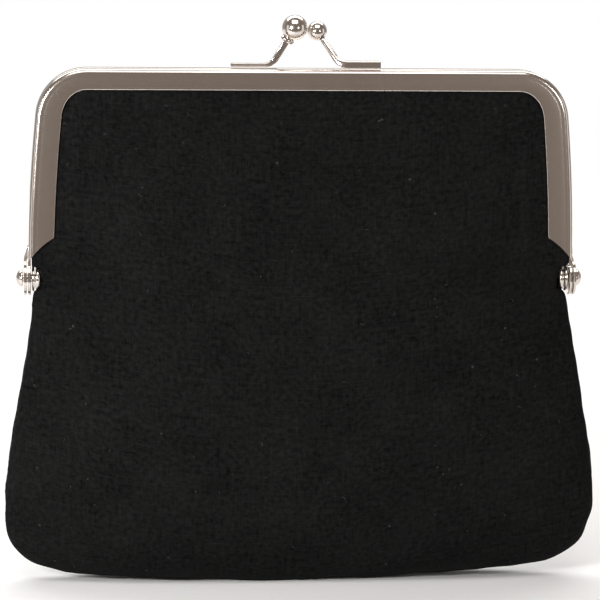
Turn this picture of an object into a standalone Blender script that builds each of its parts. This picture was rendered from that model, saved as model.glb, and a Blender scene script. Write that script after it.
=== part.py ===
"""Kiss-lock clutch purse: a lined cloth pouch held in two hinged channel frames with a ball clasp.

Metres, +Z up.  The purse stands closed on its base: X runs across its width, the front faces -Y,
and the origin is the middle of the base.  Left is -X and right is +X.  Each half frame turns on
the rivets about the X axis at HINGE_Z; the pouch below the rivets stays where it is.
"""
import math

import bmesh
import bpy
from mathutils import Matrix, Vector

MM = 0.001

# ---- clearances ----
GAP = 0.3 * MM                      # between pieces that lie against each other
SEAM_HALF_GAP = GAP / 2             # from the parting plane to either half

# ---- frame: a U of folded channel, one for the front and one for the back ----
FRAME_TOP_Z = 142.0 * MM
FRAME_HALF_WIDTH = 75.1 * MM        # outside, at the feet
FRAME_DEPTH = 4.6 * MM              # one half, front to parting plane
FRAME_WALL = 0.6 * MM
FRAME_CORNER_RADIUS = 14.0 * MM
BAND_SIDE = 7.0 * MM                # height of the flanges on the legs
BAND_TOP = 5.7 * MM                 # height of the flanges along the top
FACE_ROLL = 1.3 * MM                # outside radius between web and face flange
PARTING_ROLL = 0.8 * MM             # outside radius between web and parting flange
LEAN_FOOT = math.radians(0.6)       # how far a leg leans in at its foot
LEAN_SHOULDER = math.radians(5.4)   # and where it meets the corner
FOOT_CUT_RISE = 0.95                # slope of the cut that ends the flanges

# ---- hinge ----
HINGE_Z = 84.3 * MM
EAR_THICKNESS = 0.8 * MM
EAR_PROUD = 0.05 * MM               # how far an ear stands outside the web it grows from
EAR_NECK_RISE = 3.9 * MM            # from the foot of the channel to the top of the ear's neck
RIVET_RADIUS = 1.1 * MM
RIVET_HEAD_RADIUS = 2.35 * MM
RIVET_HEAD_HEIGHT = 1.8 * MM
RIVET_TAIL_RADIUS = 3.2 * MM
RIVET_TAIL_HEIGHT = 1.3 * MM
WASHER_RADIUS = 3.6 * MM
WASHER_THICKNESS = 0.7 * MM

# ---- ball clasp ----
CLASP_SPLIT_X = 0.95 * MM           # the plane on which the two balls pass
BACK_BALL_RADIUS = 3.45 * MM
FRONT_BALL_RADIUS = 2.66 * MM
BACK_BALL_RISE = 11.3 * MM          # ball centre above the frame's top
FRONT_BALL_RISE = 10.3 * MM
BALL_CROSSING = 1.4 * MM            # how far each ball leans past the parting plane
BALL_BORE_DEPTH = 2.0 * MM
ARM_PIN_RADIUS = 0.55 * MM
ARM_WIDTH = 1.7 * MM
ARM_FOOT_DEPTH = 2.4 * MM
BACK_ARM_THICKNESS = 1.0 * MM
FRONT_ARM_THICKNESS = 2.1 * MM
ARM_BEND_SPREAD = 5.9 * MM          # from a ball's centre sideways to its arm's bend
ARM_FOOT_LENGTH = 11.2 * MM
COLLAR_RADIUS = 1.9 * MM
COLLAR_HEIGHT = 0.9 * MM

# ---- glued edge inside the channel ----
CLOTH_THICKNESS = 0.6 * MM
LINING_THICKNESS = 0.5 * MM
WADDING_THICKNESS = 1.1 * MM
CLOTH_EDGE_INSET = 1.2 * MM         # from the frame's outline to the cloth's edge
WADDING_MARGIN = 4.0 * MM           # from the flange's lip to the edge of the wadding

# ---- pouch ----
BELLY_DEPTH = 13.2 * MM             # half the thickness of the filled-out pouch
BELLY_Z = 25.0 * MM
BASE_HALF_DEPTH = 7.0 * MM
BASE_FLAT_HALF = 25.0 * MM          # half the length of the flat on the base
BASE_SAG = 3.2 * MM                 # rise of the base from the flat to the corner
POUCH_CORNER_RADIUS = 22.5 * MM
POUCH_FLARE = 9.5                   # degrees the sides spread towards the base
POUCH_RIM_INSET = 2.0 * MM          # the rim's half width is the frame's less this
BULGE_RUN = 35.0 * MM               # from the flange's lip to the panel's full depth
TOP_CLOTH_RISE = 5.9 * MM           # lower edge of the panels that ride with a frame

# ---- fineness of the meshes ----
LEG_STEPS = 3
CORNER_STEPS = 7
ROLL_STEPS = 4
ROUND_SIDES = 20
CORD_SIDES = 8
POUCH_COLUMNS = 14
PANEL_FRACTIONS = (0.78, 0.52, 0.26)

# ---- sizes that follow from the ones above ----
FRONT, BACK = -1.0, 1.0
EAR_RADIUS = FRAME_DEPTH + SEAM_HALF_GAP
FOOT_Z = HINGE_Z + EAR_RADIUS + GAP
CORNER_Z = FRAME_TOP_Z - FRAME_CORNER_RADIUS
SHOULDER_Z = CORNER_Z + FRAME_CORNER_RADIUS * math.sin(LEAN_SHOULDER)
LEG_HEIGHT = SHOULDER_Z - FOOT_Z
SHOULDER_X = FRAME_HALF_WIDTH - LEG_HEIGHT * (LEAN_FOOT + LEAN_SHOULDER) / 2
CORNER_X = SHOULDER_X - FRAME_CORNER_RADIUS * math.cos(LEAN_SHOULDER)
LIP_TOP_Z = FRAME_TOP_Z - BAND_TOP
EAR_OUTER_X = FRAME_HALF_WIDTH + EAR_PROUD
EAR_STEP = EAR_THICKNESS + GAP
CHANNEL_CLOTH_Y = FRAME_DEPTH + SEAM_HALF_GAP - FRAME_WALL - GAP
CHANNEL_MID_Y = SEAM_HALF_GAP + FRAME_DEPTH / 2
CORD_RADIUS = (FRAME_DEPTH - 2 * FRAME_WALL - CLOTH_THICKNESS - LINING_THICKNESS - 4 * GAP) / 2
RIM_Z = HINGE_Z - WASHER_RADIUS - 2 * GAP
RIM_HALF_WIDTH = FRAME_HALF_WIDTH - POUCH_RIM_INSET
TOP_CLOTH_Z = HINGE_Z + TOP_CLOTH_RISE

# Layers of the pouch, outside in: (outer face, inner face), as distances from the cloth's face.
CLOTH_LAYER = (0.0, CLOTH_THICKNESS)
WADDING_LAYER = (CLOTH_THICKNESS + GAP, CLOTH_THICKNESS + GAP + WADDING_THICKNESS)
LINING_LAYER = (WADDING_LAYER[1] + GAP, WADDING_LAYER[1] + GAP + LINING_THICKNESS)

# Finishes: colour, roughness, metallic.
NICKEL = ("nickel_plate", (0.62, 0.59, 0.56), 0.22, 1.0)
BLACK_CLOTH = ("black_cloth", (0.013, 0.013, 0.013), 0.92, 0.0)
LINING_CLOTH = ("lining_cloth", (0.020, 0.020, 0.021), 0.80, 0.0)
WADDING_FELT = ("wadding", (0.55, 0.54, 0.51), 0.98, 0.0)
PAPER = ("paper_cord", (0.48, 0.38, 0.26), 0.95, 0.0)


def clamp(value):
    """Limit a value to the span from 0 to 1."""
    return max(0.0, min(1.0, value))


def ease(value):
    """Smooth step from 0 to 1."""
    value = clamp(value)
    return value * value * (3.0 - 2.0 * value)


# ------------------------------------------------------------------ objects and materials

def material(finish):
    """Return the Principled material of a finish, made on first use."""
    name, colour, roughness, metallic = finish
    found = bpy.data.materials.get(name)
    if found:
        return found
    made = bpy.data.materials.new(name)
    made.use_nodes = True
    shader = made.node_tree.nodes["Principled BSDF"]
    shader.inputs["Base Color"].default_value = (*colour, 1.0)
    shader.inputs["Roughness"].default_value = roughness
    shader.inputs["Metallic"].default_value = metallic
    made.diffuse_color = (*colour, 1.0)
    return made


def make_object(name, shape, finish, parent, smooth_angle=35.0):
    """Turn a bmesh drawn in world coordinates into an object that hangs from an empty."""
    bmesh.ops.remove_doubles(shape, verts=shape.verts, dist=1e-7)
    bmesh.ops.recalc_face_normals(shape, faces=shape.faces)
    shape.transform(Matrix.Translation(-parent.location))
    mesh = bpy.data.meshes.new(name)
    shape.to_mesh(mesh)
    shape.free()
    mesh.shade_smooth()
    mesh.set_sharp_from_angle(angle=math.radians(smooth_angle))
    mesh.materials.append(material(finish))
    made = bpy.data.objects.new(name, mesh)
    made.parent = parent
    bpy.context.collection.objects.link(made)
    return made


def make_turned_object(name, profile, finish, parent, place, direction, looped=False):
    """Turn a profile of (radius, height) about an axis at a place, pointing along a direction."""
    shape = bmesh.new()
    turn_profile(shape, profile, looped)
    made = make_object(name, shape, finish, parent)
    made.data.transform(Matrix.Translation(parent.location))
    made.location = place - parent.location
    made.rotation_euler = direction.to_track_quat("Z", "Y").to_euler()
    return made


def make_empty(name, place):
    """Add an empty that carries the pieces of one body."""
    made = bpy.data.objects.new(name, None)
    made.location = place
    made.empty_display_size = 10 * MM
    bpy.context.collection.objects.link(made)
    return made


def as_tool(tool):
    """Mark an object as a tool of a Boolean, which is not a piece of the purse."""
    tool.hide_render = True
    tool.display_type = "WIRE"
    return tool


def add_boolean(target, tool, operation):
    """Add an exact Boolean of a tool to an object."""
    change = target.modifiers.new(tool.name, "BOOLEAN")
    change.operation = operation
    change.solver = "EXACT"
    change.object = as_tool(tool)


# ------------------------------------------------------------------ mesh helpers

def skin(shape, rings, ring_closed=True):
    """Join rows of vertices with quads."""
    for low, high in zip(rings, rings[1:]):
        count = len(low)
        for i in range(count if ring_closed else count - 1):
            j = (i + 1) % count
            shape.faces.new((low[i], low[j], high[j], high[i]))


def solid_from_rings(shape, point_rings):
    """Add a closed body through rings of points, with a cap on each end."""
    rings = [[shape.verts.new(point) for point in ring] for ring in point_rings]
    skin(shape, rings)
    shape.faces.new(rings[0])
    shape.faces.new(rings[-1])


def slab(shape, outer, inner):
    """Add the closed body between two grids of points that have the same rows and columns."""
    front = [[shape.verts.new(point) for point in row] for row in outer]
    rear = [[shape.verts.new(point) for point in row] for row in inner]
    skin(shape, front, ring_closed=False)
    skin(shape, rear, ring_closed=False)

    def border(grid):
        left = [row[0] for row in grid[-2:0:-1]]
        right = [row[-1] for row in grid[1:-1]]
        return grid[0] + right + grid[-1][::-1] + left

    skin(shape, [border(front), border(rear)])


def turn_profile(shape, profile, looped):
    """Revolve a profile of (radius, height) about Z; a radius of 0 is a pole."""
    rings = []
    for radius, height in profile:
        if radius == 0.0:
            rings.append([shape.verts.new((0.0, 0.0, height))])
            continue
        turns = [math.tau * i / ROUND_SIDES for i in range(ROUND_SIDES)]
        rings.append([shape.verts.new((radius * math.cos(a), radius * math.sin(a), height))
                      for a in turns])
    if looped:
        rings.append(rings[0])
    for low, high in zip(rings, rings[1:]):
        for i in range(ROUND_SIDES):
            j = (i + 1) % ROUND_SIDES
            corners = [low[i % len(low)], low[j % len(low)], high[j % len(high)], high[i % len(high)]]
            shape.faces.new(list(dict.fromkeys(corners)))


def dome(radius, height, base, steps=6):
    """Profile of a half-ellipse dome from its rim at a base height to its pole."""
    points = []
    for i in range(steps):
        angle = math.pi / 2 * i / steps
        points.append((radius * math.cos(angle), base + height * math.sin(angle)))
    return points + [(0.0, base + height)]


# ------------------------------------------------------------------ the frame's outline

def band_height(lean):
    """Height of the flanges where the outline leans by this angle."""
    return BAND_SIDE + (BAND_TOP - BAND_SIDE) * ease(lean / (math.pi / 2))


def leg_station(z):
    """Outline point of the right leg at a height: x, z, lean."""
    t = (z - FOOT_Z) / LEG_HEIGHT
    lean = LEAN_FOOT + (LEAN_SHOULDER - LEAN_FOOT) * t
    x = FRAME_HALF_WIDTH - LEG_HEIGHT * (LEAN_FOOT * t + (LEAN_SHOULDER - LEAN_FOOT) * t * t / 2)
    return x, z, lean


def corner_station(t):
    """Outline point of the right corner, from the leg (0) to the top (1): x, z, lean."""
    lean = LEAN_SHOULDER + (math.pi / 2 - LEAN_SHOULDER) * t
    x = CORNER_X + FRAME_CORNER_RADIUS * math.cos(lean)
    return x, CORNER_Z + FRAME_CORNER_RADIUS * math.sin(lean), lean


def right_stations():
    """Outline of the right half of the frame, from the foot to the top of the corner."""
    first_full_z = FOOT_Z + BAND_SIDE * FOOT_CUT_RISE + FRAME_WALL
    heights = [first_full_z + (SHOULDER_Z - first_full_z) * i / LEG_STEPS for i in range(LEG_STEPS)]
    legs = [leg_station(FOOT_Z)] + [leg_station(z) for z in heights]
    return legs + [corner_station(i / CORNER_STEPS) for i in range(CORNER_STEPS + 1)]


def inset_half_width(z, inset, samples=60):
    """Half width at a height of the outline moved inward by inset(lean)."""
    points = [leg_station(TOP_CLOTH_Z + (SHOULDER_Z - TOP_CLOTH_Z) * i / samples)
              for i in range(samples)]
    points += [corner_station(i / samples) for i in range(samples + 1)]
    moved = [(x - inset(lean) * math.cos(lean), h - inset(lean) * math.sin(lean))
             for x, h, lean in points]
    for (x0, z0), (x1, z1) in zip(moved, moved[1:]):
        if z0 <= z <= z1:
            return x0 + (x1 - x0) * (z - z0) / max(z1 - z0, 1e-9)
    return moved[0][0] if z < moved[0][1] else moved[-1][0]


def sweep_frame(shape, section):
    """Sweep a section round the frame.

    A section point is (inset, share of the flange height, y): its distance from the outline is
    inset + share * flange height.  The flanges' ends are cut on a slope at both feet.
    """
    def ring(station, mirror, at_foot):
        x, z, lean = station
        points = []
        for inset, share, y in section:
            n = inset + share * band_height(lean)
            rise = n * FOOT_CUT_RISE if at_foot else 0.0
            points.append((mirror * (x - n * math.cos(lean)), y, z - n * math.sin(lean) + rise))
        return points

    stations = right_stations()
    right = [ring(station, 1.0, i == 0) for i, station in enumerate(stations)]
    left = [ring(station, -1.0, i == 0) for i, station in enumerate(stations)]
    solid_from_rings(shape, right + left[::-1])


def arc(centre_n, centre_y, radius, start, end, steps=ROLL_STEPS):
    """Section points along an arc; angles in degrees, 0 along the inset and 90 along +depth."""
    angles = [math.radians(start + (end - start) * i / steps) for i in range(steps + 1)]
    return [(centre_n + radius * math.cos(a), 0.0, centre_y + radius * math.sin(a)) for a in angles]


def channel_section(side):
    """U section of the folded strip: face flange, web and parting flange."""
    depth, wall = FRAME_DEPTH, FRAME_WALL
    inner_parting = PARTING_ROLL - wall
    points = [(0.0, 1.0, wall), (0.0, 1.0, 0.0)]
    points += arc(FACE_ROLL, FACE_ROLL, FACE_ROLL, 270, 180)
    points += arc(PARTING_ROLL, depth - PARTING_ROLL, PARTING_ROLL, 180, 90)
    points += [(0.0, 1.0, depth), (0.0, 1.0, depth - wall)]
    points += arc(PARTING_ROLL, depth - PARTING_ROLL, inner_parting, 90, 180, 2)
    points += arc(FACE_ROLL, FACE_ROLL, FACE_ROLL - wall, 180, 270)
    outside = SEAM_HALF_GAP + depth
    return [(inset, share, side * (outside - y)) for inset, share, y in points]


def cord_section(side):
    """Round section of the paper cord, in the corner between web and parting flange."""
    centre_n = FRAME_WALL + GAP + CORD_RADIUS
    centre_y = SEAM_HALF_GAP + FRAME_WALL + GAP + CORD_RADIUS
    turns = [math.tau * i / CORD_SIDES for i in range(CORD_SIDES)]
    return [(centre_n + CORD_RADIUS * math.cos(a), 0.0, side * (centre_y + CORD_RADIUS * math.sin(a)))
            for a in turns]


# ------------------------------------------------------------------ frame halves

def ear_outline(side):
    """Disc round the rivet with a neck up to the web, as (y, z) points, counter-clockwise."""
    steps = 22
    neck_near = SEAM_HALF_GAP + PARTING_ROLL + GAP
    neck_far = SEAM_HALF_GAP + FRAME_DEPTH - FACE_ROLL
    neck_z = FOOT_Z + EAR_NECK_RISE
    start = math.pi - math.radians(12)
    end = math.tau + math.pi / 2 + math.asin(neck_near / EAR_RADIUS)
    turns = [start + (end - start) * i / steps for i in range(steps + 1)]
    disc = [(EAR_RADIUS * math.cos(a), HINGE_Z + EAR_RADIUS * math.sin(a)) for a in turns]
    return [(-side * y, z) for y, z in disc + [(-neck_near, neck_z), (-neck_far, neck_z)]]


def add_ear(shape, side, mirror, step):
    """Add one ear plate; below the foot it steps out sideways to clear the other frame's ear."""
    outline = [shape.verts.new((0.0, y, z)) for y, z in ear_outline(side)]
    face = shape.faces.new(outline)
    for height in (0.0, 1.0, 2.0, 3.0):
        pieces = [face for face in shape.faces if all(abs(v.co.x) < 1e-9 for v in face.verts)]
        edges = {edge for piece in pieces for edge in piece.edges}
        corners = {vert for piece in pieces for vert in piece.verts}
        bmesh.ops.bisect_plane(shape, geom=pieces + list(edges) + list(corners), dist=1e-7,
                               plane_co=(0.0, 0.0, FOOT_Z + height * MM), plane_no=(0.0, 0.0, 1.0))
    pieces = [face for face in shape.faces if all(abs(v.co.x) < 1e-9 for v in face.verts)]
    made = bmesh.ops.extrude_face_region(shape, geom=pieces, use_keep_orig=True)
    lifted = [item for item in made["geom"] if isinstance(item, bmesh.types.BMVert)]
    inner = EAR_OUTER_X - EAR_THICKNESS
    base = {vert for piece in pieces for vert in piece.verts}
    for vert in base:
        vert.co.x = mirror * (inner + ear_step_out(vert.co.z, step))
    for vert in lifted:
        vert.co.x = mirror * (EAR_OUTER_X + ear_step_out(vert.co.z, step))


def ear_step_out(z, step):
    """Sideways step of an ear at a height: all of it at the foot, none 3 mm above."""
    return step * (1.0 - ease((z - FOOT_Z) / (3 * MM)))


def make_frame_half(name, side, parent):
    """Build one half frame: the swept channel, its two ears and their rivet holes."""
    channel = bmesh.new()
    sweep_frame(channel, channel_section(side))
    frame = make_object(name, channel, NICKEL, parent, smooth_angle=30.0)

    step = EAR_STEP if side == BACK else 0.0
    for label, mirror in (("left", -1.0), ("right", 1.0)):
        ear = bmesh.new()
        add_ear(ear, side, mirror, step)
        add_boolean(frame, make_object(f"{name}_{label}_ear", ear, NICKEL, parent), "UNION")

    hole_radius = RIVET_RADIUS + GAP
    reach = EAR_OUTER_X + EAR_STEP + RIVET_HEAD_HEIGHT
    drill = bmesh.new()
    turn_profile(drill, [(0.0, -reach), (hole_radius, -reach), (hole_radius, reach), (0.0, reach)],
                 looped=False)
    drill.transform(Matrix.Translation((0.0, 0.0, HINGE_Z)) @ Matrix.Rotation(math.pi / 2, 4, "Y"))
    add_boolean(frame, make_object(f"{name}_drill", drill, NICKEL, parent), "DIFFERENCE")
    return frame


def make_paper_cord(name, side, parent):
    """Build the cord that packs the cloth into the channel."""
    shape = bmesh.new()
    sweep_frame(shape, cord_section(side))
    return make_object(name, shape, PAPER, parent, smooth_angle=60.0)


# ------------------------------------------------------------------ hinge hardware

def rivet_profile():
    """Domed head, shank through both ears and the washer, and a flared tail; head along +Z."""
    head_base = EAR_OUTER_X + EAR_STEP + GAP
    washer_face = EAR_OUTER_X - EAR_THICKNESS - GAP - WASHER_THICKNESS
    tail_top = washer_face - GAP
    tail_end = tail_top - RIVET_TAIL_HEIGHT
    edge = RIVET_TAIL_HEIGHT / 3
    tail = [(0.0, tail_end), (RIVET_TAIL_RADIUS - edge, tail_end), (RIVET_TAIL_RADIUS, tail_end + edge)]
    tail += [(RIVET_TAIL_RADIUS, tail_top), (RIVET_RADIUS, tail_top)]
    return tail + [(RIVET_RADIUS, head_base)] + dome(RIVET_HEAD_RADIUS, RIVET_HEAD_HEIGHT, head_base)


def washer_profile():
    """Flat washer between the inner ear and the rivet's tail; a closed loop of points."""
    outer_face = EAR_OUTER_X - EAR_THICKNESS - GAP
    inner_face = outer_face - WASHER_THICKNESS
    bore = RIVET_RADIUS + GAP
    return [(bore, inner_face), (WASHER_RADIUS, inner_face), (WASHER_RADIUS, outer_face), (bore, outer_face)]


def make_hinge_hardware(parent):
    """Build the rivet and the washer of each hinge."""
    axis = Vector((0.0, 0.0, HINGE_Z))
    for label, sign in (("left", -1.0), ("right", 1.0)):
        outward = Vector((sign, 0.0, 0.0))
        make_turned_object(f"{label}_hinge_rivet", rivet_profile(), NICKEL, parent, axis, outward)
        make_turned_object(f"{label}_hinge_washer", washer_profile(), NICKEL, parent, axis, outward,
                           looped=True)


# ------------------------------------------------------------------ ball clasp

def clasp_points(side):
    """Ball centre, arm bend and foot end of one clasp half."""
    sign = 1.0 if side == FRONT else -1.0
    radius = FRONT_BALL_RADIUS if side == FRONT else BACK_BALL_RADIUS
    rise = FRONT_BALL_RISE if side == FRONT else BACK_BALL_RISE
    thickness = FRONT_ARM_THICKNESS if side == FRONT else BACK_ARM_THICKNESS
    ball_x = CLASP_SPLIT_X + sign * (SEAM_HALF_GAP + radius)
    ball = Vector((ball_x, -side * BALL_CROSSING, FRAME_TOP_Z + rise))
    foot_z = FRAME_TOP_Z + GAP + thickness / 2
    bend = Vector((ball_x + sign * ARM_BEND_SPREAD, side * CHANNEL_MID_Y, foot_z))
    end = bend + Vector((sign * ARM_FOOT_LENGTH, 0.0, 0.0))
    return ball, bend, end, radius, thickness


def arm_ring(centre, along, width, depth):
    """Eight points of a rectangle with cut corners, square to a direction in the XZ plane."""
    across = Vector((along.z, 0.0, -along.x)).normalized()
    deep = along.cross(across).normalized()
    cut = min(width, depth) * 0.25
    half_w, half_d = width / 2, depth / 2
    corners = [(half_w, half_d - cut), (half_w - cut, half_d), (cut - half_w, half_d), (-half_w, half_d - cut),
               (-half_w, cut - half_d), (cut - half_w, -half_d), (half_w - cut, -half_d), (half_w, cut - half_d)]
    return [centre + across * a + deep * b for a, b in corners]


def make_clasp_arm(name, side, parent):
    """Build an arm: a foot along the frame's top, a bend, a stem and the pin that holds the ball."""
    ball, bend, end, radius, thickness = clasp_points(side)
    stem = (ball - bend).normalized()
    foot = (bend - end).normalized()
    collar = COLLAR_HEIGHT if side == BACK else 0.0
    shoulder = ball - stem * (radius + collar + GAP)
    pin_tip = ball - stem * (radius + GAP - BALL_BORE_DEPTH)
    pin = 2 * ARM_PIN_RADIUS
    stem_depth = min(ARM_WIDTH, max(BACK_ARM_THICKNESS, thickness * 0.8))
    half_bend = ((foot + stem) / 2).normalized()
    shape = bmesh.new()
    rings = [
        arm_ring(end, foot, thickness, ARM_FOOT_DEPTH),
        arm_ring(bend - foot * ARM_WIDTH, foot, thickness, ARM_FOOT_DEPTH),
        arm_ring(bend + Vector((0.0, 0.0, thickness * 0.2)), half_bend, (thickness + ARM_WIDTH) / 2,
                 (ARM_FOOT_DEPTH + stem_depth) / 2),
        arm_ring(bend + stem * ARM_WIDTH * 1.3, stem, ARM_WIDTH, stem_depth),
        arm_ring(shoulder, stem, ARM_WIDTH, stem_depth),
        arm_ring(shoulder, stem, pin, pin),
        arm_ring(pin_tip, stem, pin, pin),
    ]
    solid_from_rings(shape, rings)
    return make_object(name, shape, NICKEL, parent)


def ball_profile(side):
    """Ball with a blind bore for the arm's pin; the back ball stands on a small collar."""
    radius = FRONT_BALL_RADIUS if side == FRONT else BACK_BALL_RADIUS
    bore = ARM_PIN_RADIUS + GAP
    bottom = GAP + BALL_BORE_DEPTH - radius
    profile = [(0.0, bottom), (bore, bottom)]
    start = math.asin(bore / radius)
    if side == BACK:
        start = math.asin(0.85 * COLLAR_RADIUS / radius)
        foot = -radius - COLLAR_HEIGHT
        profile += [(bore, foot), (COLLAR_RADIUS, foot), (COLLAR_RADIUS, foot + COLLAR_HEIGHT * 0.7)]
    steps = 12
    for i in range(steps):
        angle = start + (math.pi - start) * i / steps
        profile.append((radius * math.sin(angle), -radius * math.cos(angle)))
    return profile + [(0.0, radius)]


def make_clasp_ball(name, side, parent):
    """Build a ball, turned about its arm's line."""
    ball, bend = clasp_points(side)[:2]
    return make_turned_object(name, ball_profile(side), NICKEL, parent, ball, (ball - bend).normalized())


# ------------------------------------------------------------------ cloth that rides with a frame

def body_depth(z):
    """Half thickness of the purse in the middle of its width at a height."""
    if z < BELLY_Z:
        return BASE_HALF_DEPTH + (BELLY_DEPTH - BASE_HALF_DEPTH) * math.sqrt(1 - (1 - z / BELLY_Z) ** 2)
    share = clamp((z - BELLY_Z) / (LIP_TOP_Z - BELLY_Z))
    return CHANNEL_CLOTH_Y + (BELLY_DEPTH - CHANNEL_CLOTH_Y) * math.cos(math.pi / 2 * share) ** 2


def lip_half_width(z):
    """Half width inside the flanges at a height."""
    return inset_half_width(z, band_height)


def panel_face_y(x, z):
    """Distance of a panel's outer face from the parting plane."""
    run = clamp((lip_half_width(z) - abs(x)) / BULGE_RUN)
    return CHANNEL_CLOTH_Y + (body_depth(z) - CHANNEL_CLOTH_Y) * math.sin(math.pi / 2 * run)


def tuck(x, z):
    """0 where the panel is packed into the channel, 1 where the wadding lies inside it."""
    inside = min(lip_half_width(z) - abs(x), LIP_TOP_Z - z)
    return clamp(inside / WADDING_MARGIN)


def panel_columns(z):
    """Places across the panel at a height, from right to left."""
    lip = lip_half_width(z)
    full = lip - WADDING_MARGIN
    half = [inset_half_width(z, lambda lean: CLOTH_EDGE_INSET), lip, full]
    half += [full * fraction for fraction in PANEL_FRACTIONS]
    return half + [0.0] + [-x for x in half[::-1]]


def wadding_columns(z):
    """Places across the wadding at a height, from right to left."""
    edge = lip_half_width(z) - WADDING_MARGIN
    half = [edge] + [edge * fraction for fraction in PANEL_FRACTIONS]
    return half + [0.0] + [-x for x in half[::-1]]


def panel_rows(top, finish_rows):
    """Heights of the rows, evenly up to the corner and then at the given rows."""
    span = CORNER_Z - TOP_CLOTH_Z
    lower = [TOP_CLOTH_Z + span * i / 5 for i in range(6)]
    return lower + [z for z in finish_rows if CORNER_Z < z < top] + [top]


def make_top_panel(name, side, parent, layer, finish):
    """Build the part of one layer of cloth or lining that a half frame holds."""
    packed = (0.0, CLOTH_THICKNESS) if layer is CLOTH_LAYER else (
        CLOTH_THICKNESS + GAP, CLOTH_THICKNESS + GAP + LINING_THICKNESS)
    top = FRAME_TOP_Z - CLOTH_EDGE_INSET
    rows = panel_rows(top, (LIP_TOP_Z - WADDING_MARGIN, LIP_TOP_Z, LIP_TOP_Z + BAND_TOP / 2))

    def grid(face):
        def point(x, z):
            share = tuck(x, z)
            offset = packed[face] + (layer[face] - packed[face]) * share
            return (x, side * (panel_face_y(x, z) - offset), z)
        return [[point(x, z) for x in panel_columns(z)] for z in rows]

    shape = bmesh.new()
    slab(shape, grid(0), grid(1))
    return make_object(name, shape, finish, parent, smooth_angle=60.0)


def make_top_wadding(name, side, parent):
    """Build the part of the wadding that lies inside a half frame."""
    rows = panel_rows(LIP_TOP_Z - WADDING_MARGIN, ())

    def grid(face):
        return [[(x, side * (panel_face_y(x, z) - WADDING_LAYER[face]), z) for x in wadding_columns(z)]
                for z in rows]

    shape = bmesh.new()
    slab(shape, grid(0), grid(1))
    return make_object(name, shape, WADDING_FELT, parent, smooth_angle=60.0)


# ------------------------------------------------------------------ pouch below the hinges

def pouch_rows():
    """Half width and height of the pouch's silhouette, from the flat of the base to the rim."""
    flare = math.radians(POUCH_FLARE)
    centre_z = BASE_SAG + POUCH_CORNER_RADIUS
    side_z = centre_z + POUCH_CORNER_RADIUS * math.sin(flare)
    side_x = RIM_HALF_WIDTH + (RIM_Z - side_z) * math.tan(flare)
    centre_x = side_x - POUCH_CORNER_RADIUS * math.cos(flare)
    rows = [(BASE_FLAT_HALF, 0.0)]
    middle = BASE_FLAT_HALF + (centre_x - BASE_FLAT_HALF) * 0.6
    rows.append((middle, BASE_SAG * 0.36))
    turns = 8
    for i in range(turns + 1):
        angle = -math.pi / 2 + (math.pi / 2 + flare) * i / turns
        rows.append((centre_x + POUCH_CORNER_RADIUS * math.cos(angle),
                     centre_z + POUCH_CORNER_RADIUS * math.sin(angle)))
    for i in range(1, 4):
        share = i / 3
        rows.append((side_x + (RIM_HALF_WIDTH - side_x) * share, side_z + (RIM_Z - side_z) * share))
    return rows


def pouch_grid(side, offset):
    """Points of one face of a layer, offset inward from the cloth's outer face.

    Each row is half of a soft oval from one side seam to the other; the first row is the seam
    along the base.
    """
    grid = []
    turns = [math.pi * i / POUCH_COLUMNS for i in range(POUCH_COLUMNS + 1)]
    for width, height in pouch_rows():
        z = height + offset * (1.0 - height / RIM_Z)
        depth = body_depth(height) - offset - SEAM_HALF_GAP
        row = []
        for turn in turns:
            x = math.copysign(abs(math.cos(turn)) ** (2 / 3), math.cos(turn)) * (width - offset)
            row.append((x, side * (SEAM_HALF_GAP + depth * math.sin(turn)), z))
        if not grid:
            grid.append([(x, side * SEAM_HALF_GAP, z) for x, _, z in row])
        grid.append(row)
    return grid


def make_pouch_half(name, side, parent, layer, finish):
    """Build the front or back half of one layer of the pouch."""
    shape = bmesh.new()
    slab(shape, pouch_grid(side, layer[0]), pouch_grid(side, layer[1]))
    return make_object(name, shape, finish, parent, smooth_angle=60.0)


# ------------------------------------------------------------------ the purse

def make_frame_side(label, side):
    """Build everything that turns with one half frame."""
    hinge = make_empty(f"{label}_hinge_axis", (0.0, 0.0, HINGE_Z))
    make_frame_half(f"{label}_frame", side, hinge)
    make_paper_cord(f"{label}_paper_cord", side, hinge)
    make_clasp_arm(f"{label}_clasp_arm", side, hinge)
    make_clasp_ball(f"{label}_clasp_ball", side, hinge)
    make_top_panel(f"{label}_cloth_top", side, hinge, CLOTH_LAYER, BLACK_CLOTH)
    make_top_wadding(f"{label}_wadding_top", side, hinge)
    make_top_panel(f"{label}_lining_top", side, hinge, LINING_LAYER, LINING_CLOTH)


def main():
    """Clear the scene and build the purse."""
    for old in list(bpy.data.objects):
        bpy.data.objects.remove(old, do_unlink=True)
    make_frame_side("front", FRONT)
    make_frame_side("back", BACK)
    base = make_empty("pouch_base", (0.0, 0.0, 0.0))
    make_hinge_hardware(base)
    for label, side in (("front", FRONT), ("back", BACK)):
        make_pouch_half(f"pouch_{label}_cloth", side, base, CLOTH_LAYER, BLACK_CLOTH)
        make_pouch_half(f"pouch_{label}_wadding", side, base, WADDING_LAYER, WADDING_FELT)
        make_pouch_half(f"pouch_{label}_lining", side, base, LINING_LAYER, LINING_CLOTH)
    bpy.context.view_layer.update()


main()
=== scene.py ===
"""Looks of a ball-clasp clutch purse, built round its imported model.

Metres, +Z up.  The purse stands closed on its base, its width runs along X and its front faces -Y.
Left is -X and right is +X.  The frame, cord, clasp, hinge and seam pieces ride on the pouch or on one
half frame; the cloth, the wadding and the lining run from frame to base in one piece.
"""
import logging
import math
from dataclasses import dataclass, field
from enum import Enum

import bmesh
import bpy
import numpy as np
from mathutils import Matrix, Vector


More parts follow.
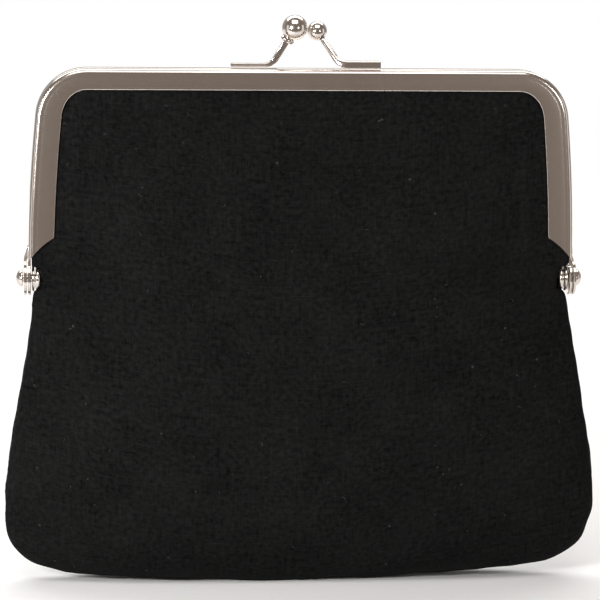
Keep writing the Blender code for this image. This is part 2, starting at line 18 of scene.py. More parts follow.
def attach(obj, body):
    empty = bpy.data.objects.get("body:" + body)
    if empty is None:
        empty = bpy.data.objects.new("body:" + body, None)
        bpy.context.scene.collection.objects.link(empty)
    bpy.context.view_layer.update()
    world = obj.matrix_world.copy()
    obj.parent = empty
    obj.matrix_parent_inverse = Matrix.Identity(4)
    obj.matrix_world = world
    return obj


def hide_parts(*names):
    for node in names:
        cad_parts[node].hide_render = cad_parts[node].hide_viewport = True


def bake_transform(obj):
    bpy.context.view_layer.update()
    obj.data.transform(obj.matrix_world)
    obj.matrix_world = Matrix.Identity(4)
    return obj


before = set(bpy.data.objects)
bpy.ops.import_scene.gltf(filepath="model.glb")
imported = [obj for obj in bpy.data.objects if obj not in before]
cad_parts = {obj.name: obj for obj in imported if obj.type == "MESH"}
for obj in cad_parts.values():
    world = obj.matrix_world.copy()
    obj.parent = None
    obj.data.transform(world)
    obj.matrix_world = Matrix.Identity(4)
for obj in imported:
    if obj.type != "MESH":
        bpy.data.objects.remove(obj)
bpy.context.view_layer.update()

LOG = logging.getLogger("clutch_purse")
MM = 0.001
GAP = 0.3 * MM
SEAM_HALF_GAP = GAP / 2

Point = tuple[float, float, float]


class Side(Enum):
    """The two halves of the purse; the value is the sign of their Y."""

    FRONT = -1.0
    BACK = 1.0

    @property
    def label(self) -> str:
        """Name of the half in piece names."""
        return self.name.lower()

    @property
    def body(self) -> str:
        """Body that the half frame of this side rides on."""
        return f"{self.label}_half"


class Slot(Enum):
    """Material slots of the record."""

    NICKEL = "nickel_plate"
    CLOTH = "black_cloth"
    LINING = "lining_cloth"
    WADDING = "wadding"
    PAPER = "paper_cord"


# ------------------------------------------------------------------ node trees

class Value:
    """A socket of a node tree that takes part in Python expressions."""

    def __init__(self, sheet: "NodeSheet", socket: bpy.types.NodeSocket) -> None:
        """Wrap a socket of a sheet's tree."""
        self.sheet = sheet
        self.socket = socket

    def _math(self, operation: str, first: object, second: object) -> "Value":
        """Add a Math node for two operands.

        Args:
            operation: the node's operation.
            first: left operand, a number or a Value.
            second: right operand, a number or a Value.

        Returns:
            The node's result.
        """
        node = self.sheet.node("ShaderNodeMath", {"operation": operation}, {0: first, 1: second})
        return Value(self.sheet, node.outputs[0])

    def __add__(self, other: object) -> "Value":
        """Sum."""
        return self._math("ADD", self, other)

    def __radd__(self, other: object) -> "Value":
        """Sum, reflected."""
        return self._math("ADD", other, self)

    def __sub__(self, other: object) -> "Value":
        """Difference."""
        return self._math("SUBTRACT", self, other)

    def __rsub__(self, other: object) -> "Value":
        """Difference, reflected."""
        return self._math("SUBTRACT", other, self)

    def __mul__(self, other: object) -> "Value":
        """Product."""
        return self._math("MULTIPLY", self, other)

    def __rmul__(self, other: object) -> "Value":
        """Product, reflected."""
        return self._math("MULTIPLY", other, self)

    def __truediv__(self, other: object) -> "Value":
        """Quotient."""
        return self._math("DIVIDE", self, other)

    def __pow__(self, other: object) -> "Value":
        """Power."""
        return self._math("POWER", self, other)

    def __abs__(self) -> "Value":
        """Size without its sign."""
        return self._math("ABSOLUTE", self, 0.0)

    def above(self, other: object) -> "Value":
        """1 where this is greater than the other, else 0."""
        return self._math("GREATER_THAN", self, other)

    def sine(self) -> "Value":
        """Sine of an angle in radians."""
        return self._math("SINE", self, 0.0)


class NodeSheet:
    """Adds and links the nodes of one shader or geometry tree."""

    def __init__(self, tree: bpy.types.NodeTree) -> None:
        """Start on an emptied tree."""
        self.tree = tree
        tree.nodes.clear()

    def node(self, kind: str, settings: dict | None = None, values: dict | None = None) -> bpy.types.Node:
        """Add any node.

        Args:
            kind: the node's type name.
            settings: its properties, set first; "stops" are a ramp's (place, colour) pairs.
            values: numbers, sockets or Values for its inputs, by name or index.

        Returns:
            The node.
        """
        made = self.tree.nodes.new(kind)
        for key, value in (settings or {}).items():
            if key == "stops":
                self._set_stops(made.color_ramp, value)
            else:
                setattr(made, key, value)
        for key, value in (values or {}).items():
            if isinstance(value, Value):
                value = value.socket
            if isinstance(value, bpy.types.NodeSocket):
                self.tree.links.new(value, made.inputs[key])
            else:
                made.inputs[key].default_value = value
        return made

    @staticmethod
    def _set_stops(ramp: bpy.types.ColorRamp, stops: list[tuple[float, float]]) -> None:
        """Give a ramp its stops.

        Args:
            ramp: the ramp of a new node, which has two stops.
            stops: (place, grey level) pairs.
        """
        while len(ramp.elements) < len(stops):
            ramp.elements.new(0.5)
        for element, (place, level) in zip(ramp.elements, stops):
            element.position = place
            element.color = (level, level, level, 1.0)

    def value(self, kind: str, settings: dict | None = None, values: dict | None = None,
              output: str | int = 0) -> Value:
        """Add a node and return one of its outputs as a Value."""
        return Value(self, self.node(kind, settings, values).outputs[output])

    def vector_math(self, operation: str, first: object, second: object) -> Value:
        """Add a Vector Math node and return its vector."""
        return self.value("ShaderNodeVectorMath", {"operation": operation}, {0: first, 1: second})

    def scaled(self, vector: object, factor: object) -> Value:
        """Vector times a number."""
        return self.value("ShaderNodeVectorMath", {"operation": "SCALE"}, {0: vector, "Scale": factor})

    def blend_colour(self, factor: object, first: object, second: object) -> Value:
        """Mix two colours by a factor."""
        return self.value("ShaderNodeMix", {"data_type": "RGBA"}, {0: factor, 6: first, 7: second}, output=2)

    def soft_noise(self, place: object, scale: float, detail: float = 3.0, roughness: float = 0.5) -> Value:
        """Noise between 0 and 1 at a place."""
        return self.value("ShaderNodeTexNoise", None,
                          {"Vector": place, "Scale": scale, "Detail": detail, "Roughness": roughness})

    def attribute(self, kind: str, name: str) -> Value:
        """Read a named attribute in a geometry tree; kind is FLOAT or FLOAT_VECTOR."""
        return self.value("GeometryNodeInputNamedAttribute", {"data_type": kind}, {"Name": name})


class GrowthTree(NodeSheet):
    """A geometry tree with named inputs, whose result becomes a plain mesh."""

    def __init__(self, name: str, inputs: dict[str, tuple[str, object]]) -> None:
        """Make the tree and its interface.

        Args:
            name: the tree's name.
            inputs: socket type and starting value by input name.
        """
        super().__init__(bpy.data.node_groups.new(name, "GeometryNodeTree"))
        face = self.tree.interface
        face.new_socket("Geometry", in_out="INPUT", socket_type="NodeSocketGeometry")
        for label, (kind, start) in inputs.items():
            socket = face.new_socket(label, in_out="INPUT", socket_type=kind)
            if start is not None:
                socket.default_value = start
        face.new_socket("Geometry", in_out="OUTPUT", socket_type="NodeSocketGeometry")
        self.source = self.node("NodeGroupInput")

    def given(self, name: str) -> Value:
        """A named input."""
        return Value(self, self.source.outputs[name])

    def rail(self) -> Value:
        """The given mesh as a curve."""
        return self.value("GeometryNodeMeshToCurve", None, {0: self.given("Geometry")})

    def bowed_thread(self, lift: object, middle: Value, steps: int, sides: int) -> Value:
        """Make a short round thread along X, of the inputs Length and Radius.

        Args:
            lift: height of its ends.
            middle: control point that it bows towards.
            steps: pieces along it.
            sides: faces round it.

        Returns:
            The thread's closed mesh.
        """
        half = self.given("Length") * 0.5
        start, end = (self.value("ShaderNodeCombineXYZ", None, {0: half * sign, 1: 0.0, 2: lift})
                      for sign in (-1.0, 1.0))
        bow = self.value("GeometryNodeCurveQuadraticBezier", None,
                         {"Resolution": steps, "Start": start, "Middle": middle, "End": end})
        ring = self.value("GeometryNodeCurvePrimitiveCircle", None,
                          {"Resolution": sides, "Radius": self.given("Radius")})
        return self.value("GeometryNodeCurveToMesh", None,
                          {"Curve": bow, "Profile Curve": ring, "Fill Caps": True})

    def close(self, geometry: object) -> None:
        """End the tree in Realize Instances and Set Material.

        Args:
            geometry: what the tree has made.
        """
        real = self.value("GeometryNodeRealizeInstances", None, {0: geometry})
        dressed = self.value("GeometryNodeSetMaterial", None, {0: real, "Material": self.given("Finish")})
        self.node("NodeGroupOutput", None, {0: dressed})

    def grow(self, name: str, seed_mesh: bpy.types.Mesh, sizes: dict[str, object]) -> bpy.types.Mesh:
        """Run the tree on a mesh.

        Args:
            name: name of the new mesh.
            seed_mesh: mesh that the tree starts from.
            sizes: values of the named inputs.

        Returns:
            The plain mesh that results.
        """
        holder = bpy.data.objects.new(f"{name}_seed", seed_mesh)
        bpy.context.collection.objects.link(holder)
        change = holder.modifiers.new(self.tree.name, "NODES")
        change.node_group = self.tree
        for item in self.tree.interface.items_tree:
            if item.item_type == "SOCKET" and item.in_out == "INPUT" and item.name in sizes:
                change[item.identifier] = sizes[item.name]
        graph = bpy.context.evaluated_depsgraph_get()
        made = bpy.data.meshes.new_from_object(holder.evaluated_get(graph), depsgraph=graph)
        made.name = name
        holder.modifiers.remove(change)
        bpy.data.objects.remove(holder, do_unlink=True)
        return made


# ------------------------------------------------------------------ mesh helpers

def smooth_step(value: np.ndarray | float) -> np.ndarray | float:
    """Smooth step from 0 to 1."""
    value = np.clip(value, 0.0, 1.0)
    return value * value * (3.0 - 2.0 * value)


def hump(value: np.ndarray | float, centre: float, width: float) -> np.ndarray | float:
    """Bell curve of height 1."""
    return np.exp(-(((value - centre) / width) ** 2))


def line_mesh(name: str, points: np.ndarray, closed: bool = False,
              attributes: dict[str, np.ndarray] | None = None) -> bpy.types.Mesh:
    """Make a mesh of edges along a row of points.

    Args:
        name: name of the mesh.
        points: the points, in order.
        closed: whether the last point joins the first.
        attributes: point attributes by name, floats or vectors.

    Returns:
        The mesh.
    """
    count = len(points)
    edges = [(i, i + 1) for i in range(count - 1)] + ([(count - 1, 0)] if closed else [])
    mesh = bpy.data.meshes.new(name)
    mesh.from_pydata([tuple(map(float, p)) for p in points], edges, [])
    for label, values in (attributes or {}).items():
        wide = values.ndim == 2
        layer = mesh.attributes.new(label, "FLOAT_VECTOR" if wide else "FLOAT", "POINT")
        layer.data.foreach_set("vector" if wide else "value", values.astype(np.float32).ravel())
    return mesh


def tidy_mesh(mesh: bpy.types.Mesh, finish: bpy.types.Material, smooth_angle: float) -> bpy.types.Mesh:
    """Merge doubles, turn every face outward, and shade the mesh.

    Args:
        mesh: mesh to finish.
        finish: its material.
        smooth_angle: edges sharper than this stay sharp, in degrees.

    Returns:
        The same mesh.
    """
    shape = bmesh.new()
    shape.from_mesh(mesh)
    bmesh.ops.remove_doubles(shape, verts=shape.verts, dist=1e-7)
    bmesh.ops.recalc_face_normals(shape, faces=shape.faces)
    shape.to_mesh(mesh)
    shape.free()
    mesh.shade_smooth()
    mesh.set_sharp_from_angle(angle=math.radians(smooth_angle))
    mesh.materials.clear()
    mesh.materials.append(finish)
    return mesh


def new_piece(name: str, mesh: bpy.types.Mesh) -> bpy.types.Object:
    """Put a finished mesh in the scene and report it.

    Args:
        name: name of the piece.
        mesh: its mesh, in place.

    Returns:
        The piece.
    """
    made = bpy.data.objects.new(name, mesh)
    bpy.context.collection.objects.link(made)
    LOG.info("%s: %d faces", name, len(mesh.polygons))
    return made


def ring_mesh(name: str, rings: list[list[Point]], capped: bool = True) -> bpy.types.Mesh:
    """Skin rings of points; a ring of one point is a pole.

    Args:
        name: name of the mesh.
        rings: the rings, in order along the body.
        capped: whether the first and last rings are closed with a face.

    Returns:
        The mesh.
    """
    points: list[Point] = []
    marks: list[list[int]] = []
    for ring in rings:
        marks.append(list(range(len(points), len(points) + len(ring))))
        points.extend(tuple(map(float, p)) for p in ring)
    faces: list[tuple[int, ...]] = []
    for low, high in zip(marks, marks[1:]):
        count = max(len(low), len(high))
        for i in range(count):
            j = (i + 1) % count
            corners = (low[i % len(low)], low[j % len(low)], high[j % len(high)], high[i % len(high)])
            faces.append(tuple(dict.fromkeys(corners)))
    if capped:
        faces += [tuple(ring) for ring in (marks[0], marks[-1]) if len(ring) > 2]
    mesh = bpy.data.meshes.new(name)
    mesh.from_pydata(points, [], faces)
    return mesh


def lathe_mesh(name: str, profile: list[tuple[float, float]], place: Vector, direction: Vector,
               sides: int, looped: bool = False) -> bpy.types.Mesh:
    """Turn a profile about an axis.

    Args:
        name: name of the mesh.
        profile: (radius, height) points; a radius of 0 is a pole.
        place: point on the axis at height 0.
        direction: direction of the axis.
        sides: faces round the axis.
        looped: whether the last point joins the first, as on a washer.

    Returns:
        The mesh.
    """
    turn = Matrix.Translation(place) @ direction.to_track_quat("Z", "Y").to_matrix().to_4x4()
    rings = []
    for radius, height in profile + (profile[:1] if looped else []):
        angles = [math.tau * i / sides for i in range(sides)] if radius > 0.0 else [0.0]
        rings.append([tuple(turn @ Vector((radius * math.cos(a), radius * math.sin(a), height)))
                      for a in angles])
    return ring_mesh(name, rings, capped=not looped)


def arc_points(centre: tuple[float, float], radius: float, start: float, end: float,
               steps: int) -> list[tuple[float, float]]:
    """Points on an arc in a plane; angles in degrees."""
    turns = [math.radians(start + (end - start) * i / steps) for i in range(steps + 1)]
    return [(centre[0] + radius * math.cos(a), centre[1] + radius * math.sin(a)) for a in turns]


def join_meshes(name: str, parts: list[bpy.types.Mesh]) -> bpy.types.Mesh:
    """Join meshes into one.

    Args:
        name: name of the new mesh.
        parts: the meshes.

    Returns:
        The new mesh.
    """
    shape = bmesh.new()
    for part in parts:
        shape.from_mesh(part)
    mesh = bpy.data.meshes.new(name)
    shape.to_mesh(mesh)
    shape.free()
    return mesh


def grid_quads(marks: np.ndarray) -> np.ndarray:
    """Faces between the points of a grid; marks holds the points' numbers."""
    corners = [marks[:-1, :-1], marks[:-1, 1:], marks[1:, 1:], marks[1:, :-1]]
    return np.stack(corners, axis=2).reshape(-1, 4)


# ------------------------------------------------------------------ finishes

class Finish:
    """A material made once; the sub-classes draw it on their sheet."""

    title = "finish"

    def material(self) -> bpy.types.Material:
        """Make the material on first use.

        Returns:
            The material.
        """
        found = bpy.data.materials.get(self.title)
        if found:
            return found
        made = bpy.data.materials.new(self.title)
        made.use_nodes = True
        sheet = NodeSheet(made.node_tree)
        shader = self.draw(sheet)
        sheet.node("ShaderNodeOutputMaterial", None, {"Surface": shader.outputs["BSDF"]})
        return made

    def draw(self, sheet: NodeSheet) -> bpy.types.Node:
        """Draw the finish and return its shader node."""
        raise NotImplementedError


@dataclass(frozen=True)
class NickelPlate(Finish):
    """Bright nickel plate over folded strip, a little hazy, with rubbed hairlines."""

    title: str = "hazed_nickel"
    colour: Point = (0.74, 0.685, 0.635)
    tarnish: Point = (0.60, 0.535, 0.48)
    roughness: float = 0.09
    haze: float = 0.07
    hairline_depth: float = 0.004 * MM
    hairline_scale: Point = (260.0, 900.0, 2600.0)
    cloud_scale: float = 90.0
    patch_scale: float = 420.0
    ripple_scale: float = 130.0

    def draw(self, sheet: NodeSheet) -> bpy.types.Node:
        """Draw the plate: cloudy tarnish, haze in the roughness, hairlines and orange peel as bump.

        Args:
            sheet: sheet of the material's tree.

        Returns:
            The shader node.
        """
        place = sheet.value("ShaderNodeTexCoord", output="Object")
        cloud = sheet.soft_noise(place, self.cloud_scale, 4.0, 0.6)
        patches = sheet.soft_noise(place, self.patch_scale, 2.0)
        streaks = sheet.value("ShaderNodeMapping", None, {"Vector": place, "Scale": self.hairline_scale})
        hairline = sheet.soft_noise(streaks, 1.0, 2.0, 0.7)
        ripple = sheet.soft_noise(place, self.ripple_scale, 1.0)
        colour = sheet.blend_colour(cloud ** 2.0, (*self.colour, 1.0), (*self.tarnish, 1.0))
        rough = self.roughness + cloud * self.haze + hairline * 0.05 + patches * 0.03
        bump = sheet.value("ShaderNodeBump", None, {
            "Height": hairline * 0.5 + ripple * 3.0, "Strength": 0.35, "Distance": self.hairline_depth},
            output="Normal")
        return sheet.node("ShaderNodeBsdfPrincipled", None, {
            "Base Color": colour, "Metallic": 1.0, "Roughness": rough, "Normal": bump})


@dataclass(frozen=True)
class WovenCloth(Finish):
    """Plain weave on the piece's own flat coordinates, in metres."""

    title: str = "black_weave"
    dark: Point = (0.0021, 0.0021, 0.0022)
    light: Point = (0.0136, 0.0133, 0.0132)
    pitch: float = 0.42 * MM
    thread_depth: float = 0.035 * MM
    roughness: float = 0.86
    sheen: float = 0.012
    lint: float = 0.035
    lint_scale: float = 420.0
    lint_size: float = 0.16
    slub_across: float = 2300.0
    warp_slub: float = 130.0
    weft_slub: float = 110.0
    mottle_scale: float = 55.0
    cloud_scale: float = 750.0

    def draw(self, sheet: NodeSheet) -> bpy.types.Node:
        """Draw the weave, uneven threads, mottling and specks of lint, with painted shade in the hollows
        between the threads.

        Args:
            sheet: sheet of the material's tree.

        Returns:
            The shader node.
        """
        flat = sheet.value("ShaderNodeUVMap", {"uv_map": "flat"})
        part = sheet.node("ShaderNodeSeparateXYZ", None, {0: flat})
        warp = (Value(sheet, part.outputs[0]) * (math.pi / self.pitch)).sine()
        weft = (Value(sheet, part.outputs[1]) * (math.pi / self.pitch)).sine()
        over = (warp * weft).above(0.0)
        threads = abs(warp) * over + abs(weft) * (1.0 - over)
        along = sheet.value("ShaderNodeMapping", None, {
            "Vector": flat, "Scale": (self.slub_across, self.warp_slub, 1.0)})
        across = sheet.value("ShaderNodeMapping", None, {
            "Vector": flat, "Scale": (self.weft_slub, self.slub_across, 1.0)})
        slubs = (sheet.soft_noise(along, 1.0, 2.0) + sheet.soft_noise(across, 1.0, 2.0)) * 0.5
        mottle = sheet.soft_noise(flat, self.mottle_scale, 4.0, 0.6)
        speck = sheet.value("ShaderNodeTexVoronoi", {"feature": "F1"}, {
            "Vector": flat, "Scale": self.lint_scale, "Randomness": 1.0}, output="Distance")
        chosen = sheet.soft_noise(flat, 260.0, 1.0).above(0.665)
        fluff = (self.lint_size - speck).above(0.0) * chosen
        cloud = sheet.soft_noise(flat, self.cloud_scale, 3.0, 0.6)
        # threads * 0.25 is painted shade: thread crowns lighter, hollows between threads darker; slubs, cloud
        # and mottle are the cloth's own uneven tone.
        shade = slubs * 1.2 + cloud * 1.6 + mottle * 0.7 + threads * 0.25 - 1.45
        ramp = sheet.value("ShaderNodeValToRGB", {"stops": [(0.0, 0.0), (1.0, 1.0)]}, {0: shade})
        cloth = sheet.blend_colour(ramp, (*self.dark, 1.0), (*self.light, 1.0))
        dusty = tuple(level + self.lint for level in self.light)
        colour = sheet.blend_colour(fluff * 0.6, cloth, (*dusty, 1.0))
        bump = sheet.value("ShaderNodeBump", None, {
            "Height": threads + slubs * 0.8 + fluff, "Strength": 0.8, "Distance": self.thread_depth},
            output="Normal")
        return sheet.node("ShaderNodeBsdfPrincipled", None, {
            "Base Color": colour, "Roughness": self.roughness + slubs * 0.08, "Sheen Weight": self.sheen,
            "Sheen Roughness": 0.45, "Specular IOR Level": 0.035, "Normal": bump})


@dataclass(frozen=True)
class BondedFelt(Finish):
    """Loose bonded fibres of the wadding."""

    title: str = "bonded_felt"
    colour: Point = (0.55, 0.54, 0.51)

    def draw(self, sheet: NodeSheet) -> bpy.types.Node:
        """Draw clouded, hairy felt, with painted shade where the hairs sink.

        Args:
            sheet: sheet of the material's tree.

        Returns:
            The shader node.
        """
        place = sheet.value("ShaderNodeTexCoord", output="Object")
        hairs = sheet.soft_noise(place, 1800.0, 4.0, 0.7)
        tufts = sheet.soft_noise(place, 300.0, 2.0)
        deep = tuple(level * 0.72 for level in self.colour)
        # Painted shade: darker where the hairs sink, lighter on raised hairs; the tufts give the felt's own
        # cloudy tone.
        colour = sheet.blend_colour(hairs * tufts * 2.0, (*deep, 1.0), (*self.colour, 1.0))
        bump = sheet.value("ShaderNodeBump", None, {"Height": hairs, "Strength": 0.8, "Distance": 0.1 * MM},
                           output="Normal")
        return sheet.node("ShaderNodeBsdfPrincipled", None, {
            "Base Color": colour, "Roughness": 0.97, "Sheen Weight": 0.25, "Normal": bump})


@dataclass(frozen=True)
class TwistedPaper(Finish):
    """Kraft paper twisted into cord."""

    title: str = "twisted_paper"
    colour: Point = (0.48, 0.36, 0.23)

    def draw(self, sheet: NodeSheet) -> bpy.types.Node:
        """Draw the creased, flecked paper, with painted shade in the creases.

        Args:
            sheet: sheet of the material's tree.

        Returns:
            The shader node.
        """
        place = sheet.value("ShaderNodeTexCoord", output="Object")
        crease = sheet.soft_noise(place, 2600.0, 3.0, 0.65)
        fleck = sheet.soft_noise(place, 900.0, 2.0)
        deep = tuple(level * 0.6 for level in self.colour)
        # Painted shade: darker where the creases sink; the flecks are the paper's own tone.
        colour = sheet.blend_colour(crease * 0.6 + fleck * 0.4, (*deep, 1.0), (*self.colour, 1.0))
        bump = sheet.value("ShaderNodeBump", None, {"Height": crease, "Strength": 0.6, "Distance": 0.05 * MM},
                           output="Normal")
        return sheet.node("ShaderNodeBsdfPrincipled", None, {
            "Base Color": colour, "Roughness": 0.85 + fleck * 0.1, "Normal": bump})


@dataclass(frozen=True)
class SpunThread(Finish):
    """Cotton yarn: sewing thread in black, or pale lint."""

    title: str = "black_thread"
    colour: Point = (0.016, 0.0155, 0.015)

    def draw(self, sheet: NodeSheet) -> bpy.types.Node:
        """Draw the uneven, dull yarn.

        Args:
            sheet: sheet of the material's tree.

        Returns:
            The shader node.
        """
        place = sheet.value("ShaderNodeTexCoord", output="Object")
        fuzz = sheet.soft_noise(place, 3000.0, 2.0)
        pale = tuple(min(1.0, level * 1.7) for level in self.colour)
        colour = sheet.blend_colour(fuzz, (*self.colour, 1.0), (*pale, 1.0))
        return sheet.node("ShaderNodeBsdfPrincipled", None, {
            "Base Color": colour, "Roughness": 0.75 + fuzz * 0.2, "Sheen Weight": 0.2})


@dataclass(frozen=True)
class StudioPaper(Finish):
    """Seamless white paper under and behind the purse."""

    title: str = "studio_paper"
    colour: Point = (0.93, 0.93, 0.93)

    def draw(self, sheet: NodeSheet) -> bpy.types.Node:
        """Draw matt white paper with a faint grain.

        Args:
            sheet: sheet of the material's tree.

        Returns:
            The shader node.
        """
        place = sheet.value("ShaderNodeTexCoord", output="Object")
        grain = sheet.soft_noise(place, 300.0, 2.0)
        deep = tuple(level * 0.985 for level in self.colour)
        colour = sheet.blend_colour(grain, (*self.colour, 1.0), (*deep, 1.0))
        return sheet.node("ShaderNodeBsdfPrincipled", None, {
            "Base Color": colour, "Roughness": 0.9, "Specular IOR Level": 0.1})


NICKEL = NickelPlate()
BLACK_CLOTH = WovenCloth()
LINING_CLOTH = WovenCloth(title="lining_weave", dark=(0.016, 0.016, 0.017), light=(0.028, 0.028, 0.029),
                          pitch=0.30 * MM, thread_depth=0.015 * MM, roughness=0.70, sheen=0.1, lint=0.02)
FELT = BondedFelt()
PAPER = TwistedPaper()
BLACK_THREAD = SpunThread()
PALE_LINT = SpunThread(title="pale_lint", colour=(0.10, 0.098, 0.093))


# ------------------------------------------------------------------ the frame's outline

@dataclass(frozen=True)
class FrameOutline:
    """Centre line data of the U-shaped frame, shared by all that lies in its channel."""

    top_z: float = 142.0 * MM
    half_width: float = 75.1 * MM
    depth: float = 4.6 * MM
    wall: float = 0.6 * MM
    corner_radius: float = 14.0 * MM
    band_side: float = 7.0 * MM
    band_top: float = 5.7 * MM
    lean_foot: float = math.radians(0.6)
    lean_shoulder: float = math.radians(5.4)
    hinge_z: float = 84.3 * MM
    leg_steps: int = 14
    corner_steps: int = 18
    top_steps: int = 10
    fine_steps: int = 80

    @property
    def ear_radius(self) -> float:
        """Radius of the ears."""
        return self.depth + SEAM_HALF_GAP

    @property
    def foot_z(self) -> float:
        """Lowest height of the web."""
        return self.hinge_z + self.ear_radius + GAP

    @property
    def corner_z(self) -> float:
        """Height of the corners' centres."""
        return self.top_z - self.corner_radius

    @property
    def shoulder_z(self) -> float:
        """Height at which a leg meets its corner."""
        return self.corner_z + self.corner_radius * math.sin(self.lean_shoulder)

    @property
    def corner_x(self) -> float:
        """Distance of the corners' centres from the middle.

        Returns:
            The distance, which leaves the frame as wide at the foot as half_width says.
        """
        leg = self.shoulder_z - self.foot_z
        shoulder_x = self.half_width - leg * (self.lean_foot + self.lean_shoulder) / 2
        return shoulder_x - self.corner_radius * math.cos(self.lean_shoulder)

    @property
    def lip_top_z(self) -> float:
        """Height of the flanges' edge along the top."""
        return self.top_z - self.band_top

    @property
    def channel_cloth_y(self) -> float:
        """Distance of the glued cloth's outer face from the parting plane."""
        return self.depth + SEAM_HALF_GAP - self.wall - GAP

    def band_share(self, lean: float) -> float:
        """0 where the flanges are as high as on the legs, 1 where they are as on the top."""
        return float(smooth_step(lean / (math.pi / 2)))

    def band(self, lean: float) -> float:
        """Height of the flanges where the outline leans by this angle."""
        return self.band_side + (self.band_top - self.band_side) * self.band_share(lean)

    def leg(self, z: float) -> tuple[float, float, float]:
        """Outline point of the right leg.

        Args:
            z: height of the point.

        Returns:
            x, z and lean.
        """
        height = self.shoulder_z - self.foot_z
        t = (z - self.foot_z) / height
        gain = self.lean_shoulder - self.lean_foot
        x = self.half_width - height * (self.lean_foot * t + gain * t * t / 2)
        return x, z, self.lean_foot + gain * t

    def corner(self, t: float) -> tuple[float, float, float]:
        """Outline point of the right corner.

        Args:
            t: 0 at the leg, 1 at the top.

        Returns:
            x, z and lean.
        """
        lean = self.lean_shoulder + (math.pi / 2 - self.lean_shoulder) * t
        return (self.corner_x + self.corner_radius * math.cos(lean),
                self.corner_z + self.corner_radius * math.sin(lean), lean)

    def stations(self, first_z: float) -> list[tuple[float, float, float]]:
        """Outline points of the right half, from the foot to the end of the corner.

        Args:
            first_z: height of the first station above the foot.

        Returns:
            x, z and lean of each station.
        """
        legs = [first_z + (self.shoulder_z - first_z) * i / self.leg_steps for i in range(self.leg_steps)]
        points = [self.leg(self.foot_z)] + [self.leg(z) for z in legs]
        return points + [self.corner(i / self.corner_steps) for i in range(self.corner_steps + 1)]

    def path(self) -> tuple[np.ndarray, dict[str, np.ndarray]]:
        """The whole outline, right foot to left foot.

        Returns:
            Points, and the attributes spot, inward, band_share and foot of each.
        """
        right = self.stations(self.foot_z + self.band_side + self.wall)
        across = [(self.corner_x * (1 - 2 * i / self.top_steps), self.top_z, math.pi / 2)
                  for i in range(1, self.top_steps)]
        rows = [(1.0, *s) for s in right] + [(1.0, *s) for s in across] + [(-1.0, *s) for s in right[::-1]]
        spots, inward, shares = [], [], []
        for mirror, x, z, lean in rows:
            spots.append((mirror * x, 0.0, z))
            inward.append((-mirror * math.cos(lean), 0.0, -math.sin(lean)))
            shares.append(self.band_share(lean))
        foot = np.zeros(len(rows))
        foot[0] = foot[-1] = 1.0
        points = np.array(spots)
        data = {"spot": points, "inward": np.array(inward), "band_share": np.array(shares), "foot": foot}
        return points, data

    def half_width_at(self, heights: np.ndarray, inset: float, share: float) -> np.ndarray:
        """Half width inside a line that runs parallel to the outline.

        Args:
            heights: heights to find it at.
            inset: distance of the line inside the outline.
            share: share of the flanges' height to add to the distance.

        Returns:
            The half width at each height.
        """
        leg, fine = self.shoulder_z - self.foot_z, self.fine_steps
        samples = [self.leg(self.foot_z + leg * i / fine) for i in range(-2 * fine, fine)]
        samples += [self.corner(i / (2 * fine)) for i in range(2 * fine + 1)]
        moved = []
        for x, z, lean in samples:
            n = inset + share * self.band(max(lean, 0.0))
            lean = max(lean, self.lean_foot)
            moved.append((x - n * math.cos(lean), z - n * math.sin(lean)))
        xs, zs = np.array(moved).T
        return np.interp(heights, zs, xs)


OUTLINE = FrameOutline()


# ------------------------------------------------------------------ half frames

